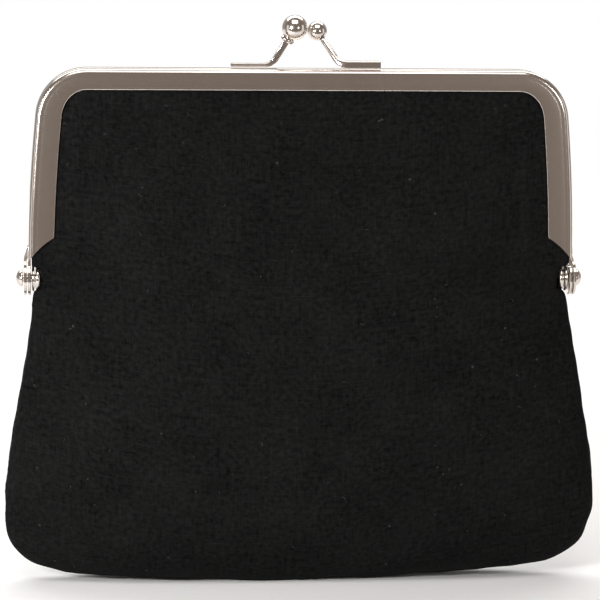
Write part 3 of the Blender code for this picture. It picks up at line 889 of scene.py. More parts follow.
@dataclass
class HalfFrame:
    """One half of the frame: a U of folded channel with an ear at each foot."""

    side: Side
    outline: FrameOutline = OUTLINE
    face_roll: float = 1.3 * MM
    parting_roll: float = 0.8 * MM
    crown: float = 0.05 * MM
    groove: float = 0.02 * MM
    groove_share: float = 0.14
    groove_width: float = 0.05
    face_shares: tuple[float, ...] = (0.95, 0.85, 0.7, 0.5, 0.35, 0.26, 0.21, 0.17, 0.14, 0.11, 0.08, 0.04)
    roll_steps: int = 9
    foot_rise: float = 0.95
    foot_curve: float = 0.45
    ear_thickness: float = 0.8 * MM
    ear_proud: float = 0.05 * MM
    ear_neck_rise: float = 3.9 * MM
    ear_step_run: float = 3.0 * MM
    ear_edge: float = 0.14 * MM
    rivet_hole: float = 1.4 * MM
    ear_sides: int = 72

    def section(self) -> tuple[np.ndarray, dict[str, np.ndarray]]:
        """Outline of the folded strip.

        Returns:
            Points for the profile curve, and the inset, share and depth of each.
        """
        deep, wall, half = self.outline.depth, self.outline.wall, self.outline.wall / 2
        rows: list[tuple[float, float, float]] = []

        def turn(centre: tuple[float, float], radius: float, start: float, end: float, share: float,
                 steps: int) -> None:
            """Add an arc in the (inset, depth) plane at one share of the flange; angles in degrees."""
            rows.extend((n, share, y) for n, y in arc_points(centre, radius, start, end, steps))

        turn((-half, half), half, 90, -90, 1.0, 6)
        for share in self.face_shares:
            dent = self.groove * float(hump(share, self.groove_share, self.groove_width))
            level = dent - self.crown * math.sin(math.pi * share)
            rows.append((self.face_roll * (1 - share) - half * share, share, level))
        turn((self.face_roll, self.face_roll), self.face_roll, 270, 180, 0.0, self.roll_steps)
        turn((self.parting_roll, deep - self.parting_roll), self.parting_roll, 180, 90, 0.0, self.roll_steps)
        turn((-half, deep - half), half, 90, -90, 1.0, 6)
        turn((self.parting_roll, deep - self.parting_roll), self.parting_roll - wall, 90, 180, 0.0, 3)
        turn((self.face_roll, self.face_roll), self.face_roll - wall, 180, 270, 0.0, 5)
        table = np.array(rows)
        inset, share, level = table.T
        depth = self.side.value * (SEAM_HALF_GAP + deep - level)
        flat = np.stack([inset + share * self.outline.band_side, level, np.zeros_like(depth)], axis=1)
        return flat, {"inset": inset, "share": share, "depth": depth}

    def channel_tree(self) -> GrowthTree:
        """Tree that sweeps the section round the outline and cuts its feet on a curved slope.

        Returns:
            The closed tree.
        """
        tree = GrowthTree("folded_channel", {
            "Section": ("NodeSocketObject", None), "Side Band": ("NodeSocketFloat", 0.007),
            "Top Band": ("NodeSocketFloat", 0.0057), "Foot Rise": ("NodeSocketFloat", 0.95),
            "Foot Curve": ("NodeSocketFloat", 0.3), "Finish": ("NodeSocketMaterial", None)})
        strip = tree.value("GeometryNodeObjectInfo", None, {0: tree.given("Section")}, output="Geometry")
        profile = tree.value("GeometryNodeMeshToCurve", None, {0: strip})
        swept = tree.value("GeometryNodeCurveToMesh", None,
                           {"Curve": tree.rail(), "Profile Curve": profile, "Fill Caps": True})
        band = tree.given("Side Band") + (tree.given("Top Band") - tree.given("Side Band")) * tree.attribute(
            "FLOAT", "band_share")
        inset = tree.attribute("FLOAT", "inset") + tree.attribute("FLOAT", "share") * band
        slope = 1.0 + tree.given("Foot Curve") * (1.0 - inset / tree.given("Side Band"))
        rise = tree.attribute("FLOAT", "foot") * tree.given("Foot Rise") * inset * slope
        drop = tree.value("ShaderNodeCombineXYZ", None,
                          {0: 0.0, 1: tree.attribute("FLOAT", "depth"), 2: rise})
        inward = tree.scaled(tree.attribute("FLOAT_VECTOR", "inward"), inset)
        moved = tree.vector_math("ADD", tree.attribute("FLOAT_VECTOR", "spot"), inward)
        place = tree.vector_math("ADD", moved, drop)
        tree.close(tree.value("GeometryNodeSetPosition", None, {"Geometry": swept, "Position": place}))
        return tree

    def channel(self) -> bpy.types.Mesh:
        """Sweep the channel.

        Returns:
            Its mesh.
        """
        rail_points, rail_data = self.outline.path()
        strip_points, strip_data = self.section()
        section = line_mesh("strip_section", strip_points, True, strip_data)
        strip = bpy.data.objects.new("strip_section", section)
        bpy.context.collection.objects.link(strip)
        made = self.channel_tree().grow(
            f"{self.side.label}_channel", line_mesh("rail", rail_points, False, rail_data),
            {"Section": strip, "Side Band": self.outline.band_side, "Top Band": self.outline.band_top,
             "Foot Rise": self.foot_rise, "Foot Curve": self.foot_curve, "Finish": NICKEL.material()})
        bpy.data.objects.remove(strip, do_unlink=True)
        return made

    def ear_radius_at(self, angle: float) -> float:
        """Distance of the ear's edge from the rivet.

        Args:
            angle: direction in the YZ plane; 0 points outward from the parting plane, a quarter turn up.

        Returns:
            The distance, which is longer up the neck.
        """
        disc = self.outline.ear_radius
        near = SEAM_HALF_GAP + self.parting_roll + GAP
        far = SEAM_HALF_GAP + self.outline.depth - self.face_roll
        top = self.outline.foot_z + self.ear_neck_rise - self.outline.hinge_z
        across, up = math.cos(angle), math.sin(angle)
        if up <= 0.0:
            return disc
        low, high = math.atan2(top, far), math.atan2(top, near)
        reach = top / up
        if angle < low:
            reach = far / across
        elif angle > high:
            reach = disc
        return max(disc, reach)

    def ear(self, mirror: float) -> bpy.types.Mesh:
        """Make one ear plate with its rivet hole; the back ears step out past the front ones.

        Args:
            mirror: 1 for the right ear, -1 for the left.

        Returns:
            The closed plate.
        """
        sign = self.side.value
        step = self.ear_thickness + GAP if self.side is Side.BACK else 0.0
        outer = self.outline.half_width + self.ear_proud
        edge = self.ear_edge
        # Share of the way from the hole to the rim, shift along it, and dip below the plate's face.
        rows = [(0.0, 0.0, edge), (0.0, edge, 0.0), (0.5, 0.0, 0.0), (1.0, -edge, 0.0), (1.0, 0.0, edge)]
        rings: list[list[Point]] = []
        for face in (1.0, 0.0):
            for share, shift, dip in rows if face else rows[::-1]:
                ring = []
                for i in range(self.ear_sides):
                    angle = -math.pi / 2 + math.tau * i / self.ear_sides
                    reach = self.ear_radius_at(angle if angle <= math.pi else angle - math.tau)
                    radius = self.rivet_hole + (reach - self.rivet_hole) * share + shift
                    y, z = radius * math.cos(angle), self.outline.hinge_z + radius * math.sin(angle)
                    out = step * (1.0 - float(smooth_step((z - self.outline.foot_z) / self.ear_step_run)))
                    level = outer + out - (1.0 - face) * self.ear_thickness + (-dip if face else dip)
                    ring.append((mirror * level, sign * y, z))
                rings.append(ring)
        rings.append(rings[0])
        return ring_mesh(f"{self.side.label}_ear", rings, capped=False)

    def build(self) -> bpy.types.Object:
        """Build the half frame.

        Returns:
            The finished piece.
        """
        parts = [self.channel(), self.ear(1.0), self.ear(-1.0)]
        mesh = join_meshes(f"{self.side.label}_frame_channel", parts)
        piece = new_piece(mesh.name, tidy_mesh(mesh, NICKEL.material(), 38.0))
        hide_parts(f"{self.side.label}_frame")
        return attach(piece, self.side.body)


@dataclass
class PaperCord:
    """Two-ply twisted paper cord that packs the cloth into the channel."""

    side: Side
    outline: FrameOutline = OUTLINE
    radius: float = 0.55 * MM
    lay: float = 4.6 * MM
    step: float = 0.55 * MM
    sides: int = 14

    def tree(self) -> GrowthTree:
        """Tree that twists a two-lobed section along a path.

        Returns:
            The closed tree.
        """
        tree = GrowthTree("twisted_cord", {
            "Radius": ("NodeSocketFloat", 0.0005), "Lay": ("NodeSocketFloat", 0.005),
            "Step": ("NodeSocketFloat", 0.0005), "Sides": ("NodeSocketInt", 14),
            "Finish": ("NodeSocketMaterial", None)})
        even = tree.value("GeometryNodeResampleCurve", {"mode": "LENGTH"},
                          {"Curve": tree.rail(), "Length": tree.given("Step")})
        run = tree.value("GeometryNodeSplineParameter", output="Length")
        twisted = tree.value("GeometryNodeSetCurveTilt", None,
                             {"Curve": even, "Tilt": run * math.tau / tree.given("Lay")})
        ring = tree.value("GeometryNodeCurvePrimitiveCircle", None,
                          {"Resolution": tree.given("Sides"), "Radius": 1.0})
        spot = tree.value("GeometryNodeInputPosition")
        across = tree.node("ShaderNodeSeparateXYZ", None, {0: spot})
        lobes = (abs(Value(tree, across.outputs[0])) * 0.38 + 0.62) * tree.given("Radius")
        plies = tree.value("GeometryNodeSetPosition", None,
                           {"Geometry": ring, "Position": tree.scaled(spot, lobes)})
        tree.close(tree.value("GeometryNodeCurveToMesh", None,
                              {"Curve": twisted, "Profile Curve": plies, "Fill Caps": True}))
        return tree

    def build(self) -> bpy.types.Object:
        """Build the cord along its channel.

        Returns:
            The finished piece.
        """
        inset = self.outline.wall + GAP + self.radius
        y = self.side.value * (SEAM_HALF_GAP + inset)
        stations = self.outline.stations(self.outline.foot_z + self.outline.wall)[1:]
        half = [(x - inset * math.cos(lean), y, z - inset * math.sin(lean)) for x, z, lean in stations]
        path = np.array(half + [(-x, y, z) for x, y, z in half[::-1]])
        name = f"{self.side.label}_twisted_cord"
        mesh = self.tree().grow(name, line_mesh("cord_path", path), {
            "Radius": self.radius, "Lay": self.lay, "Step": self.step, "Sides": self.sides,
            "Finish": PAPER.material()})
        piece = new_piece(name, tidy_mesh(mesh, PAPER.material(), 80.0))
        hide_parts(f"{self.side.label}_paper_cord")
        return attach(piece, self.side.body)


# ------------------------------------------------------------------ hinge hardware

@dataclass
class HingePin:
    """Rivet and washer that join the ears on one side of the purse."""

    label: str
    mirror: float
    outline: FrameOutline = OUTLINE
    ear_outer: float = OUTLINE.half_width + HalfFrame.ear_proud
    ear_thickness: float = HalfFrame.ear_thickness
    shank_radius: float = 1.1 * MM
    head_radius: float = 2.35 * MM
    head_height: float = 1.8 * MM
    tail_radius: float = 3.2 * MM
    tail_height: float = 1.3 * MM
    washer_radius: float = 3.6 * MM
    washer_thickness: float = 0.7 * MM
    edge: float = 0.16 * MM
    dome_steps: int = 12
    sides: int = 48

    def rivet_profile(self) -> list[tuple[float, float]]:
        """Flared tail, shank and domed head, with softened edges.

        Returns:
            (radius, height) points from the tail to the head.
        """
        head = self.ear_outer + self.ear_thickness + 2 * GAP
        tail_top = self.ear_outer - self.ear_thickness - self.washer_thickness - 2 * GAP
        tail_end = tail_top - self.tail_height
        flare = self.tail_height / 3
        radius, edge = self.tail_radius, self.edge
        profile = [(0.0, tail_end + 0.35 * MM), (0.9 * MM, tail_end + 0.3 * MM), (1.25 * MM, tail_end)]
        profile += [(radius - flare - edge, tail_end), (radius - flare + edge * 0.4, tail_end + edge * 0.5)]
        profile += [(radius - edge * 0.2, tail_end + flare), (radius, tail_end + flare + edge)]
        profile += [(radius, tail_top - edge), (radius - edge, tail_top), (self.shank_radius, tail_top)]
        profile += [(self.shank_radius, head), (self.head_radius - edge, head)]
        profile.append((self.head_radius, head + edge))
        rise = self.head_height - edge
        for i in range(1, self.dome_steps):
            angle = math.pi / 2 * i / self.dome_steps
            profile.append((self.head_radius * math.cos(angle), head + edge + rise * math.sin(angle)))
        return profile + [(0.0, head + self.head_height)]

    def washer_profile(self) -> list[tuple[float, float]]:
        """Section of the washer with softened edges.

        Returns:
            (radius, height) points of the closed section.
        """
        top = self.ear_outer - self.ear_thickness - GAP
        low = top - self.washer_thickness
        bore, radius, edge = self.shank_radius + GAP, self.washer_radius, self.edge
        return [(bore, low), (radius - edge, low), (radius, low + edge), (radius, top - edge),
                (radius - edge, top), (bore, top)]

    def build(self) -> list[bpy.types.Object]:
        """Build the rivet and the washer.

        Returns:
            The two finished pieces.
        """
        place, out = Vector((0.0, 0.0, self.outline.hinge_z)), Vector((self.mirror, 0.0, 0.0))
        made = []
        for part, profile, looped in (("rivet", self.rivet_profile(), False),
                                      ("washer", self.washer_profile(), True)):
            name = f"{self.label}_hinge_{part}"
            mesh = lathe_mesh(f"{name}_turned", profile, place, out, self.sides, looped)
            piece = new_piece(mesh.name, tidy_mesh(mesh, NICKEL.material(), 50.0))
            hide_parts(name)
            made.append(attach(piece, "pouch"))
        return made


# ------------------------------------------------------------------ ball clasp

@dataclass
class ClaspHalf:
    """One arm and ball of the clasp."""

    side: Side
    outline: FrameOutline = OUTLINE
    split_x: float = 0.95 * MM
    crossing: float = 1.4 * MM
    spread: float = 5.9 * MM
    foot_length: float = 11.2 * MM
    foot_depth: float = 2.4 * MM
    stem_width: float = 1.7 * MM
    stem_edge: float = 0.18 * MM
    foot_power: float = 7.0
    bend_steps: int = 10
    pin_width: float = 1.1 * MM
    bore_radius: float = 0.85 * MM
    bore_depth: float = 2.0 * MM
    collar_radius: float = 1.9 * MM
    collar_height: float = 0.9 * MM
    collar_edge: float = 0.15 * MM
    ring_sides: int = 20
    ball_sides: int = 64
    ball_steps: int = 30

    @property
    def sign(self) -> float:
        """Side of X on which the arm stands: the front one is on the right."""
        return 1.0 if self.side is Side.FRONT else -1.0

    @property
    def ball_radius(self) -> float:
        """Radius of the ball."""
        return 2.66 * MM if self.side is Side.FRONT else 3.45 * MM

    @property
    def rise(self) -> float:
        """Height of the ball's centre above the frame."""
        return 10.3 * MM if self.side is Side.FRONT else 11.3 * MM

    @property
    def thickness(self) -> float:
        """Thickness of the foot: the front arm is a cast bar, the back one a flat strip."""
        return 2.1 * MM if self.side is Side.FRONT else 1.0 * MM

    def skeleton(self) -> tuple[Vector, Vector, Vector]:
        """Middle line of the arm.

        Returns:
            Ball centre, bend and foot end.
        """
        ball_x = self.split_x + self.sign * (SEAM_HALF_GAP + self.ball_radius)
        ball = Vector((ball_x, -self.side.value * self.crossing, self.outline.top_z + self.rise))
        foot_z = self.outline.top_z + GAP + self.thickness / 2
        middle = self.side.value * (SEAM_HALF_GAP + self.outline.depth / 2)
        bend = Vector((ball_x + self.sign * self.spread, middle, foot_z))
        return ball, bend, bend + Vector((self.sign * self.foot_length, 0.0, 0.0))

    def ring(self, centre: Vector, along: Vector, width: float, depth: float, power: float) -> list[Point]:
        """Rounded section square to a direction.

        Args:
            centre: middle of the section.
            along: direction of the bar.
            width: size in the XZ plane.
            depth: size across it.
            power: 2 for an ellipse, more for a squarer bar.

        Returns:
            The points of the ring.
        """
        across = Vector((along.z, 0.0, -along.x)).normalized()
        deep = along.cross(across).normalized()
        points = []
        for i in range(self.ring_sides):
            angle = math.tau * i / self.ring_sides
            c, s = math.cos(angle), math.sin(angle)
            a = math.copysign(abs(c) ** (2 / power), c) * width / 2
            b = math.copysign(abs(s) ** (2 / power), s) * depth / 2
            points.append(tuple(centre + across * a + deep * b))
        return points

    def arm(self) -> bpy.types.Mesh:
        """Make the arm: foot, smooth bend, stem and the pin in the ball.

        Returns:
            Its mesh.
        """
        ball, bend, end = self.skeleton()
        stem, foot = (ball - bend).normalized(), (bend - end).normalized()
        collar = self.collar_height if self.side is Side.BACK else 0.0
        shoulder = ball - stem * (self.ball_radius + collar + GAP)
        tip = ball - stem * (self.ball_radius + GAP - self.bore_depth)
        thick, wide = self.thickness, self.stem_width
        stem_depth = wide if self.side is Side.FRONT else thick
        stem_power = 2.2 if self.side is Side.FRONT else 6.0
        edge, power = self.stem_edge, self.foot_power
        rings = [self.ring(end, foot, thick - 2 * edge, self.foot_depth - 2 * edge, power),
                 self.ring(end + foot * edge, foot, thick, self.foot_depth, power),
                 self.ring(bend - foot * 3.2 * MM, foot, thick, self.foot_depth, power)]
        start, finish = bend - foot * 2.2 * MM, bend + stem * 2.4 * MM
        for i in range(self.bend_steps + 1):
            t = i / self.bend_steps
            centre = start * (1 - t) ** 2 + bend * 2 * t * (1 - t) + finish * t * t
            along = ((bend - start) * (1 - t) + (finish - bend) * t).normalized()
            share = float(smooth_step(t))
            rings.append(self.ring(centre, along, thick + (wide - thick) * share,
                                   self.foot_depth + (stem_depth - self.foot_depth) * share,
                                   power + (stem_power - power) * share))
        rings += [self.ring(shoulder - stem * edge, stem, wide, stem_depth, stem_power),
                  self.ring(shoulder, stem, wide - edge, stem_depth - edge, stem_power)]
        pin = self.pin_width
        rings += [self.ring(shoulder, stem, pin, pin, 2.0), self.ring(tip, stem, pin, pin, 2.0)]
        return ring_mesh(f"{self.side.label}_clasp_arm_bar", rings)

    def ball_profile(self) -> list[tuple[float, float]]:
        """Ball with a bore for the pin; the back ball stands on a collar.

        Returns:
            (radius, height) points from the bore's end to the top.
        """
        radius, bore = self.ball_radius, self.bore_radius
        bottom = GAP + self.bore_depth - radius
        profile = [(0.0, bottom), (bore, bottom)]
        start = math.asin(bore / radius)
        if self.side is Side.BACK:
            wide, high, edge = self.collar_radius, self.collar_height, self.collar_edge
            foot = -radius - high
            start = math.asin(0.85 * wide / radius)
            profile += [(bore, foot), (wide - edge, foot), (wide, foot + edge),
                        (wide, foot + high * 0.6), (wide - edge, foot + high * 0.78)]
        for i in range(self.ball_steps):
            angle = start + (math.pi - start) * i / self.ball_steps
            profile.append((radius * math.sin(angle), -radius * math.cos(angle)))
        return profile + [(0.0, radius)]

    def build(self) -> list[bpy.types.Object]:
        """Build the arm and the ball.

        Returns:
            The two finished pieces.
        """
        ball, bend, _ = self.skeleton()
        turned = lathe_mesh(f"{self.side.label}_clasp_ball_turned", self.ball_profile(), ball,
                            (ball - bend).normalized(), self.ball_sides)
        made = []
        for part, mesh in (("arm", self.arm()), ("ball", turned)):
            piece = new_piece(mesh.name, tidy_mesh(mesh, NICKEL.material(), 42.0))
            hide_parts(f"{self.side.label}_clasp_{part}")
            made.append(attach(piece, self.side.body))
        return made


# ------------------------------------------------------------------ pouch

class Layer(Enum):
    """Layers of a panel: depths of its two faces below the cloth's face, in the pouch and in the channel."""

    CLOTH = ((0.0, 0.6), (0.0, 0.6))
    WADDING = ((0.9, 2.0), (0.9, 1.4))
    LINING = ((2.3, 2.8), (0.9, 1.4))

    @property
    def pouch(self) -> tuple[float, float]:
        """Depths in the pouch, in metres."""
        return tuple(depth * MM for depth in self.value[0])

    @property
    def packed(self) -> tuple[float, float]:
        """Depths in the channel, in metres."""
        return tuple(depth * MM for depth in self.value[1])


# Half width and height of the side lines in millimetres, from the base up to the hinge and round it.
HINGE_NOTCH = ((73.35, 80.5), (72.9, 80.9), (72.2, 81.2), (71.72, 81.7), (71.7, 84.0), (71.72, 87.0),
               (72.9, 87.7), (73.95, 88.05), (74.1, 88.6), (74.12, 90.2), (74.12, 92.0))
RIGHT_LINE = ((26.0, 0.0), (39.5, 0.57), (49.5, 1.4), (58.0, 2.4), (65.5, 3.2), (71.6, 4.55),
              (76.3, 6.8), (80.3, 10.8), (82.5, 16.3), (83.2, 22.6), (82.9, 28.7), (82.3, 34.3),
              (81.4, 39.8), (80.3, 45.3), (79.3, 50.8), (78.4, 56.4), (77.5, 61.9), (76.6, 67.4),
              (75.6, 73.0), (74.7, 77.0), (73.9, 79.6)) + HINGE_NOTCH
LEFT_LINE = ((26.0, 0.0), (40.0, 0.45), (52.0, 1.1), (62.5, 1.7), (70.0, 3.0), (75.1, 5.0),
             (78.8, 8.1), (80.9, 12.1), (81.7, 17.2), (81.5, 23.2), (81.2, 28.7), (80.5, 34.3),
             (79.7, 39.8), (78.7, 45.3), (77.7, 50.8), (76.8, 56.4), (75.9, 61.9), (75.1, 67.4),
             (74.4, 73.0), (74.0, 77.0), (73.6, 79.6)) + HINGE_NOTCH


@dataclass(frozen=True)
class Fold:
    """A soft crease in the cloth: its ends across and up the panel, half width and height, in millimetres."""

    start: tuple[float, float]
    end: tuple[float, float]
    width: float
    height: float


HINGE_FOLDS = (Fold((-71, 85.6), (-40, 87.6), 1.5, 0.5), Fold((70, 86.8), (41, 88.4), 1.5, 0.45))
FOLDS = {
    Side.FRONT: HINGE_FOLDS + (Fold((57, 66), (77, 49), 1.9, 0.5), Fold((-75, 60), (-58, 66), 1.8, 0.28),
                               Fold((64, 27), (79, 37), 2.2, 0.3)),
    Side.BACK: HINGE_FOLDS + (Fold((-60, 58), (-77, 47), 1.9, 0.45), Fold((56, 62), (75, 66), 1.8, 0.3))}


@dataclass
class PouchSkin:
    """Outer face of one panel, as a grid from its edge in the channel to the seam along the base."""

    side: Side
    seed: int
    outline: FrameOutline = OUTLINE
    edge_inset: float = 0.95 * MM
    belly_depth: float = 13.2 * MM
    belly_z: float = 25.0 * MM
    base_half_depth: float = 4.2 * MM
    bulge_run: float = 35.0 * MM
    wadding_margin: float = 4.0 * MM
    neck_top: float = 92.0 * MM
    neck_low: float = 76.0 * MM
    sewn_z: float = 72.0 * MM
    parted_z: float = 80.0 * MM
    seam_top: float = 77.0 * MM
    seam_valley: float = 0.5 * MM
    sewn_gap: float = 0.01 * MM
    closing: tuple[float, ...] = (0.82, 0.62, 0.42, 0.27, 0.15, 0.07, 0.0)
    corner_centre: tuple[float, float] = (52.0 * MM, 30.0 * MM)
    corner_rays: float = 19.0
    ray_height: float = 0.12
    pucker_pitch: float = 8.3 * MM
    pucker_reach: float = 6.5 * MM
    pucker_height: float = 0.07
    long_wave: float = 62.0 * MM
    long_height: float = 0.34
    short_wave: float = 22.0 * MM
    short_height: float = 0.12
    ridge_inset: float = 5.2 * MM
    ridge_width: float = 1.5 * MM
    ridge_height: float = 0.42
    hollow_inset: float = 8.8 * MM
    hollow_width: float = 1.8 * MM
    hollow_height: float = 0.22
    oval_top: float = 93.0 * MM
    oval_run: float = 19.0 * MM
    rim_run: float = 12.5 * MM
    row_counts: tuple[int, int, int, int] = (44, 56, 38, 30)
    half_columns: int = 70
    line_steps: int = 10
    places: np.ndarray = field(init=False)
    outward: np.ndarray = field(init=False)
    flat: np.ndarray = field(init=False)
    packing: np.ndarray = field(init=False)

    def __post_init__(self) -> None:
        """Draw the grid."""
        self._draw()

    def side_line(self, line: tuple[tuple[float, float], ...], heights: np.ndarray) -> np.ndarray:
        """Half width of the panel at each height, on one side.

        Args:
            line: the side line's points, in millimetres.
            heights: heights of the rows.

        Returns:
            The half widths.
        """
        knots = np.array([line[0], *line, line[-1]], float) * MM
        curve = []
        for a, b, c, d in zip(knots, knots[1:], knots[2:], knots[3:]):
            for t in np.linspace(0.0, 1.0, self.line_steps, endpoint=False):
                curve.append(0.5 * (2 * b + (c - a) * t + (2 * a - 5 * b + 4 * c - d) * t * t
                                    + (3 * b - a - 3 * c + d) * t ** 3))
        curve = np.array(curve + [knots[-1]])
        below = np.interp(heights, np.maximum.accumulate(curve[:, 1]), curve[:, 0])
        above = self.outline.half_width_at(heights, self.edge_inset, 0.0)
        return np.where(heights < knots[-1][1], below, above)

    def row_heights(self) -> np.ndarray:
        """Heights of the rows.

        Returns:
            The heights, from the top edge down to the base.
        """
        stops = (self.outline.top_z - self.edge_inset, self.neck_top, self.neck_low, self.belly_z)
        runs = [np.linspace(high, low, count, endpoint=False)
                for high, low, count in zip(stops, stops[1:], self.row_counts)]
        turn = self.belly_z * (1 - np.sin(np.linspace(0.0, math.pi / 2, self.row_counts[-1])))
        return np.concatenate([*runs, turn])

    def seam_gap(self, heights: np.ndarray) -> np.ndarray:
        """Least distance from the parting plane: sewn tight below, a half gap above."""
        return np.interp(heights, (self.sewn_z, self.parted_z), (self.sewn_gap, SEAM_HALF_GAP))

    def half_depth(self, heights: np.ndarray) -> np.ndarray:
        """Half thickness of the purse in the middle of its width.

        Args:
            heights: heights to find it at.

        Returns:
            The half thickness at each height.
        """
        low = np.clip(heights / self.belly_z, 0.0, 1.0)
        base = self.base_half_depth + (self.belly_depth - self.base_half_depth) * np.sqrt(1 - (1 - low) ** 2)
        share = np.clip((heights - self.belly_z) / (self.outline.lip_top_z - self.belly_z), 0.0, 1.0)
        mouth = self.outline.channel_cloth_y
        body = mouth + (self.belly_depth - mouth) * np.cos(math.pi / 2 * share) ** 2
        return np.where(heights < self.belly_z, base, body)

    def ripples(self, x: np.ndarray, z: np.ndarray, wavelength: float, count: int, salt: int) -> np.ndarray:
        """Soft undulation of about height 1 from a few crossed waves.

        Args:
            x: places across the panel.
            z: heights.
            wavelength: typical length of a wave.
            count: number of waves.
            salt: added to the seed.

        Returns:
            The height of the undulation at each place.
        """
        dice = np.random.default_rng(self.seed * 100 + salt)
        total = np.zeros_like(x)
        for _ in range(count):
            angle, phase = dice.uniform(0, math.pi), dice.uniform(0, math.tau)
            k = math.tau / (wavelength * dice.uniform(0.7, 1.5))
            total += np.sin(k * (x * math.cos(angle) + z * math.sin(angle)) + phase)
        return total / math.sqrt(count)

    @staticmethod
    def crease(x: np.ndarray, z: np.ndarray, fold: Fold) -> np.ndarray:
        """One soft crease.

        Args:
            x: places across the panel.
            z: heights.
            fold: the crease's place and size.

        Returns:
            -1 along the crease, with a low swell on both sides of it.
        """
        a, b = np.array(fold.start) * MM, np.array(fold.end) * MM
        run = b - a
        length = float(np.hypot(*run))
        t = ((x - a[0]) * run[0] + (z - a[1]) * run[1]) / length ** 2
        off = ((x - a[0]) * run[1] - (z - a[1]) * run[0]) / length / (fold.width * MM)
        inside = smooth_step(t / 0.35) * smooth_step((1 - t) / 0.35)
        return inside * (0.45 * np.exp(-((off / 2.2) ** 2)) - 1.45 * np.exp(-(off ** 2)))

    def relief(self, x: np.ndarray, z: np.ndarray, y: np.ndarray, lip: np.ndarray,
               edge: np.ndarray) -> np.ndarray:
        """Height of wrinkles and ridges over the smooth shape.

        Args:
            x: places across the panel.
            z: heights.
            y: distances from the parting plane.
            lip: distance inside the flanges' edge.
            edge: distance from the side line.

        Returns:
            Height along the surface's normal, in metres.
        """
        free = smooth_step((lip - 0.4 * MM) / (3.5 * MM))
        upper = smooth_step((z - 84 * MM) / (9 * MM))
        total = self.long_height * self.ripples(x, z, self.long_wave, 7, 1)
        total += self.short_height * self.ripples(x, z, self.short_wave, 8, 2)
        ridge = self.ridge_height * hump(lip, self.ridge_inset, self.ridge_width)
        hollow = self.hollow_height * hump(lip, self.hollow_inset, self.hollow_width)
        total += (ridge - hollow) * upper
        lower = 1 - smooth_step((z - 74 * MM) / (6 * MM))
        near = np.exp(-edge / self.pucker_reach) * lower
        wander = self.ripples(x, z, 30 * MM, 3, 3)
        total += self.pucker_height * near * np.sin(math.tau * z / self.pucker_pitch + wander)
        aside, above = np.abs(x) - self.corner_centre[0], z - self.corner_centre[1]
        corner = smooth_step((np.hypot(aside, above) - 22 * MM) / (10 * MM))
        corner = corner * (1 - smooth_step((z - 26 * MM) / (12 * MM)))
        turn = np.arctan2(above, aside) * self.corner_rays + np.sign(x) * 1.3
        total += self.ray_height * corner * np.sin(turn)
        for fold in FOLDS[self.side]:
            total += fold.height * self.crease(x, z, fold)
        total = total * free * MM
        return total - self.seam_valley * np.exp(-((y / (1.0 * MM)) ** 2)) * lower

    def _draw(self) -> None:
        """Fill places, outward, flat and packing.

        Heights of wrinkles, ridges and rays are in millimetres; all other sizes are in metres.
        """
        z = self.row_heights()
        right, left = self.side_line(RIGHT_LINE, z), self.side_line(LEFT_LINE, z)
        steps = 1 - (1 - np.linspace(0.0, 1.0, self.half_columns + 1)) ** 2
        shares = np.concatenate([-steps[::-1], steps[1:]])
        wide = np.where(shares[None, :] < 0, left[:, None], right[:, None])
        x, height = wide * shares[None, :], np.repeat(z[:, None], len(shares), axis=1)
        lips = self.outline.half_width_at(z, 0.0, 1.0)[:, None]
        run = np.clip((lips - np.abs(x)) / self.bulge_run, 0.0, 1.0)
        oval = np.sqrt(np.clip(1 - np.abs(shares[None, :]) ** 3, 0.0, 1.0))
        low = smooth_step((self.oval_top - height) / self.oval_run)
        form = np.sin(math.pi / 2 * run) * (1 - low) + oval * low
        mouth = self.outline.channel_cloth_y
        sewn = smooth_step((self.neck_top - height) / self.rim_run)
        rim = mouth + (self.seam_gap(height) - mouth) * sewn
        y = rim + (self.half_depth(height) - rim) * form
        more = len(self.closing)
        x, height, wide = (np.concatenate([grid] + [grid[-1:]] * more) for grid in (x, height, wide))
        y = np.concatenate([y] + [self.sewn_gap + (y[-1:] - self.sewn_gap) * share for share in self.closing])
        smooth = np.stack([x, self.side.value * y, height], axis=2)
        normal = self._normals(smooth)
        lip = np.minimum(self.outline.half_width_at(height[:, 0], 0.0, 1.0)[:, None] - np.abs(x),
                         self.outline.lip_top_z - height)
        lip = np.where(height < self.neck_top, np.maximum(lip, (self.neck_top - height) * 0.6), lip)
        places = smooth + normal * self.relief(x, height, y, lip, wide - np.abs(x))[:, :, None]
        self.places, self.outward = self._kept_apart(places), normal
        self.packing = 1 - np.clip(lip / self.wadding_margin, 0.0, 1.0)
        across = np.cumsum(np.linalg.norm(np.diff(places, axis=1, prepend=places[:, :1]), axis=2), axis=1)
        down = np.cumsum(np.linalg.norm(np.diff(places, axis=0, prepend=places[:1]), axis=2), axis=0)
        middle = self.half_columns
        self.flat = np.stack([across - across[:, middle:middle + 1], -down], axis=2)

    def _normals(self, grid: np.ndarray) -> np.ndarray:
        """Outward normals of the grid, evened out along its rows and columns.

        Args:
            grid: points.

        Returns:
            Unit vectors.
        """
        nudge = np.zeros_like(grid)
        nudge[:, :, 1] = self.side.value * 1e-9
        normal = np.cross(np.gradient(grid, axis=1), np.gradient(grid, axis=0)) * self.side.value + nudge
        normal /= np.linalg.norm(normal, axis=2, keepdims=True) + 1e-15
        if normal[self.row_counts[0] // 2, self.half_columns, 1] * self.side.value < 0:
            normal = -normal
        normal[:, 0], normal[:, -1] = normal[:, 1], normal[:, -2]
        for axis, spread in ((0, 4), (1, 1)):
            margin = [(spread, spread) if a == axis else (0, 0) for a in range(3)]
            padded = np.pad(normal, margin, mode="edge")
            count = normal.shape[axis]
            normal = sum(np.take(padded, range(k, k + count), axis=axis) for k in range(2 * spread + 1))
        return normal / np.linalg.norm(normal, axis=2, keepdims=True)

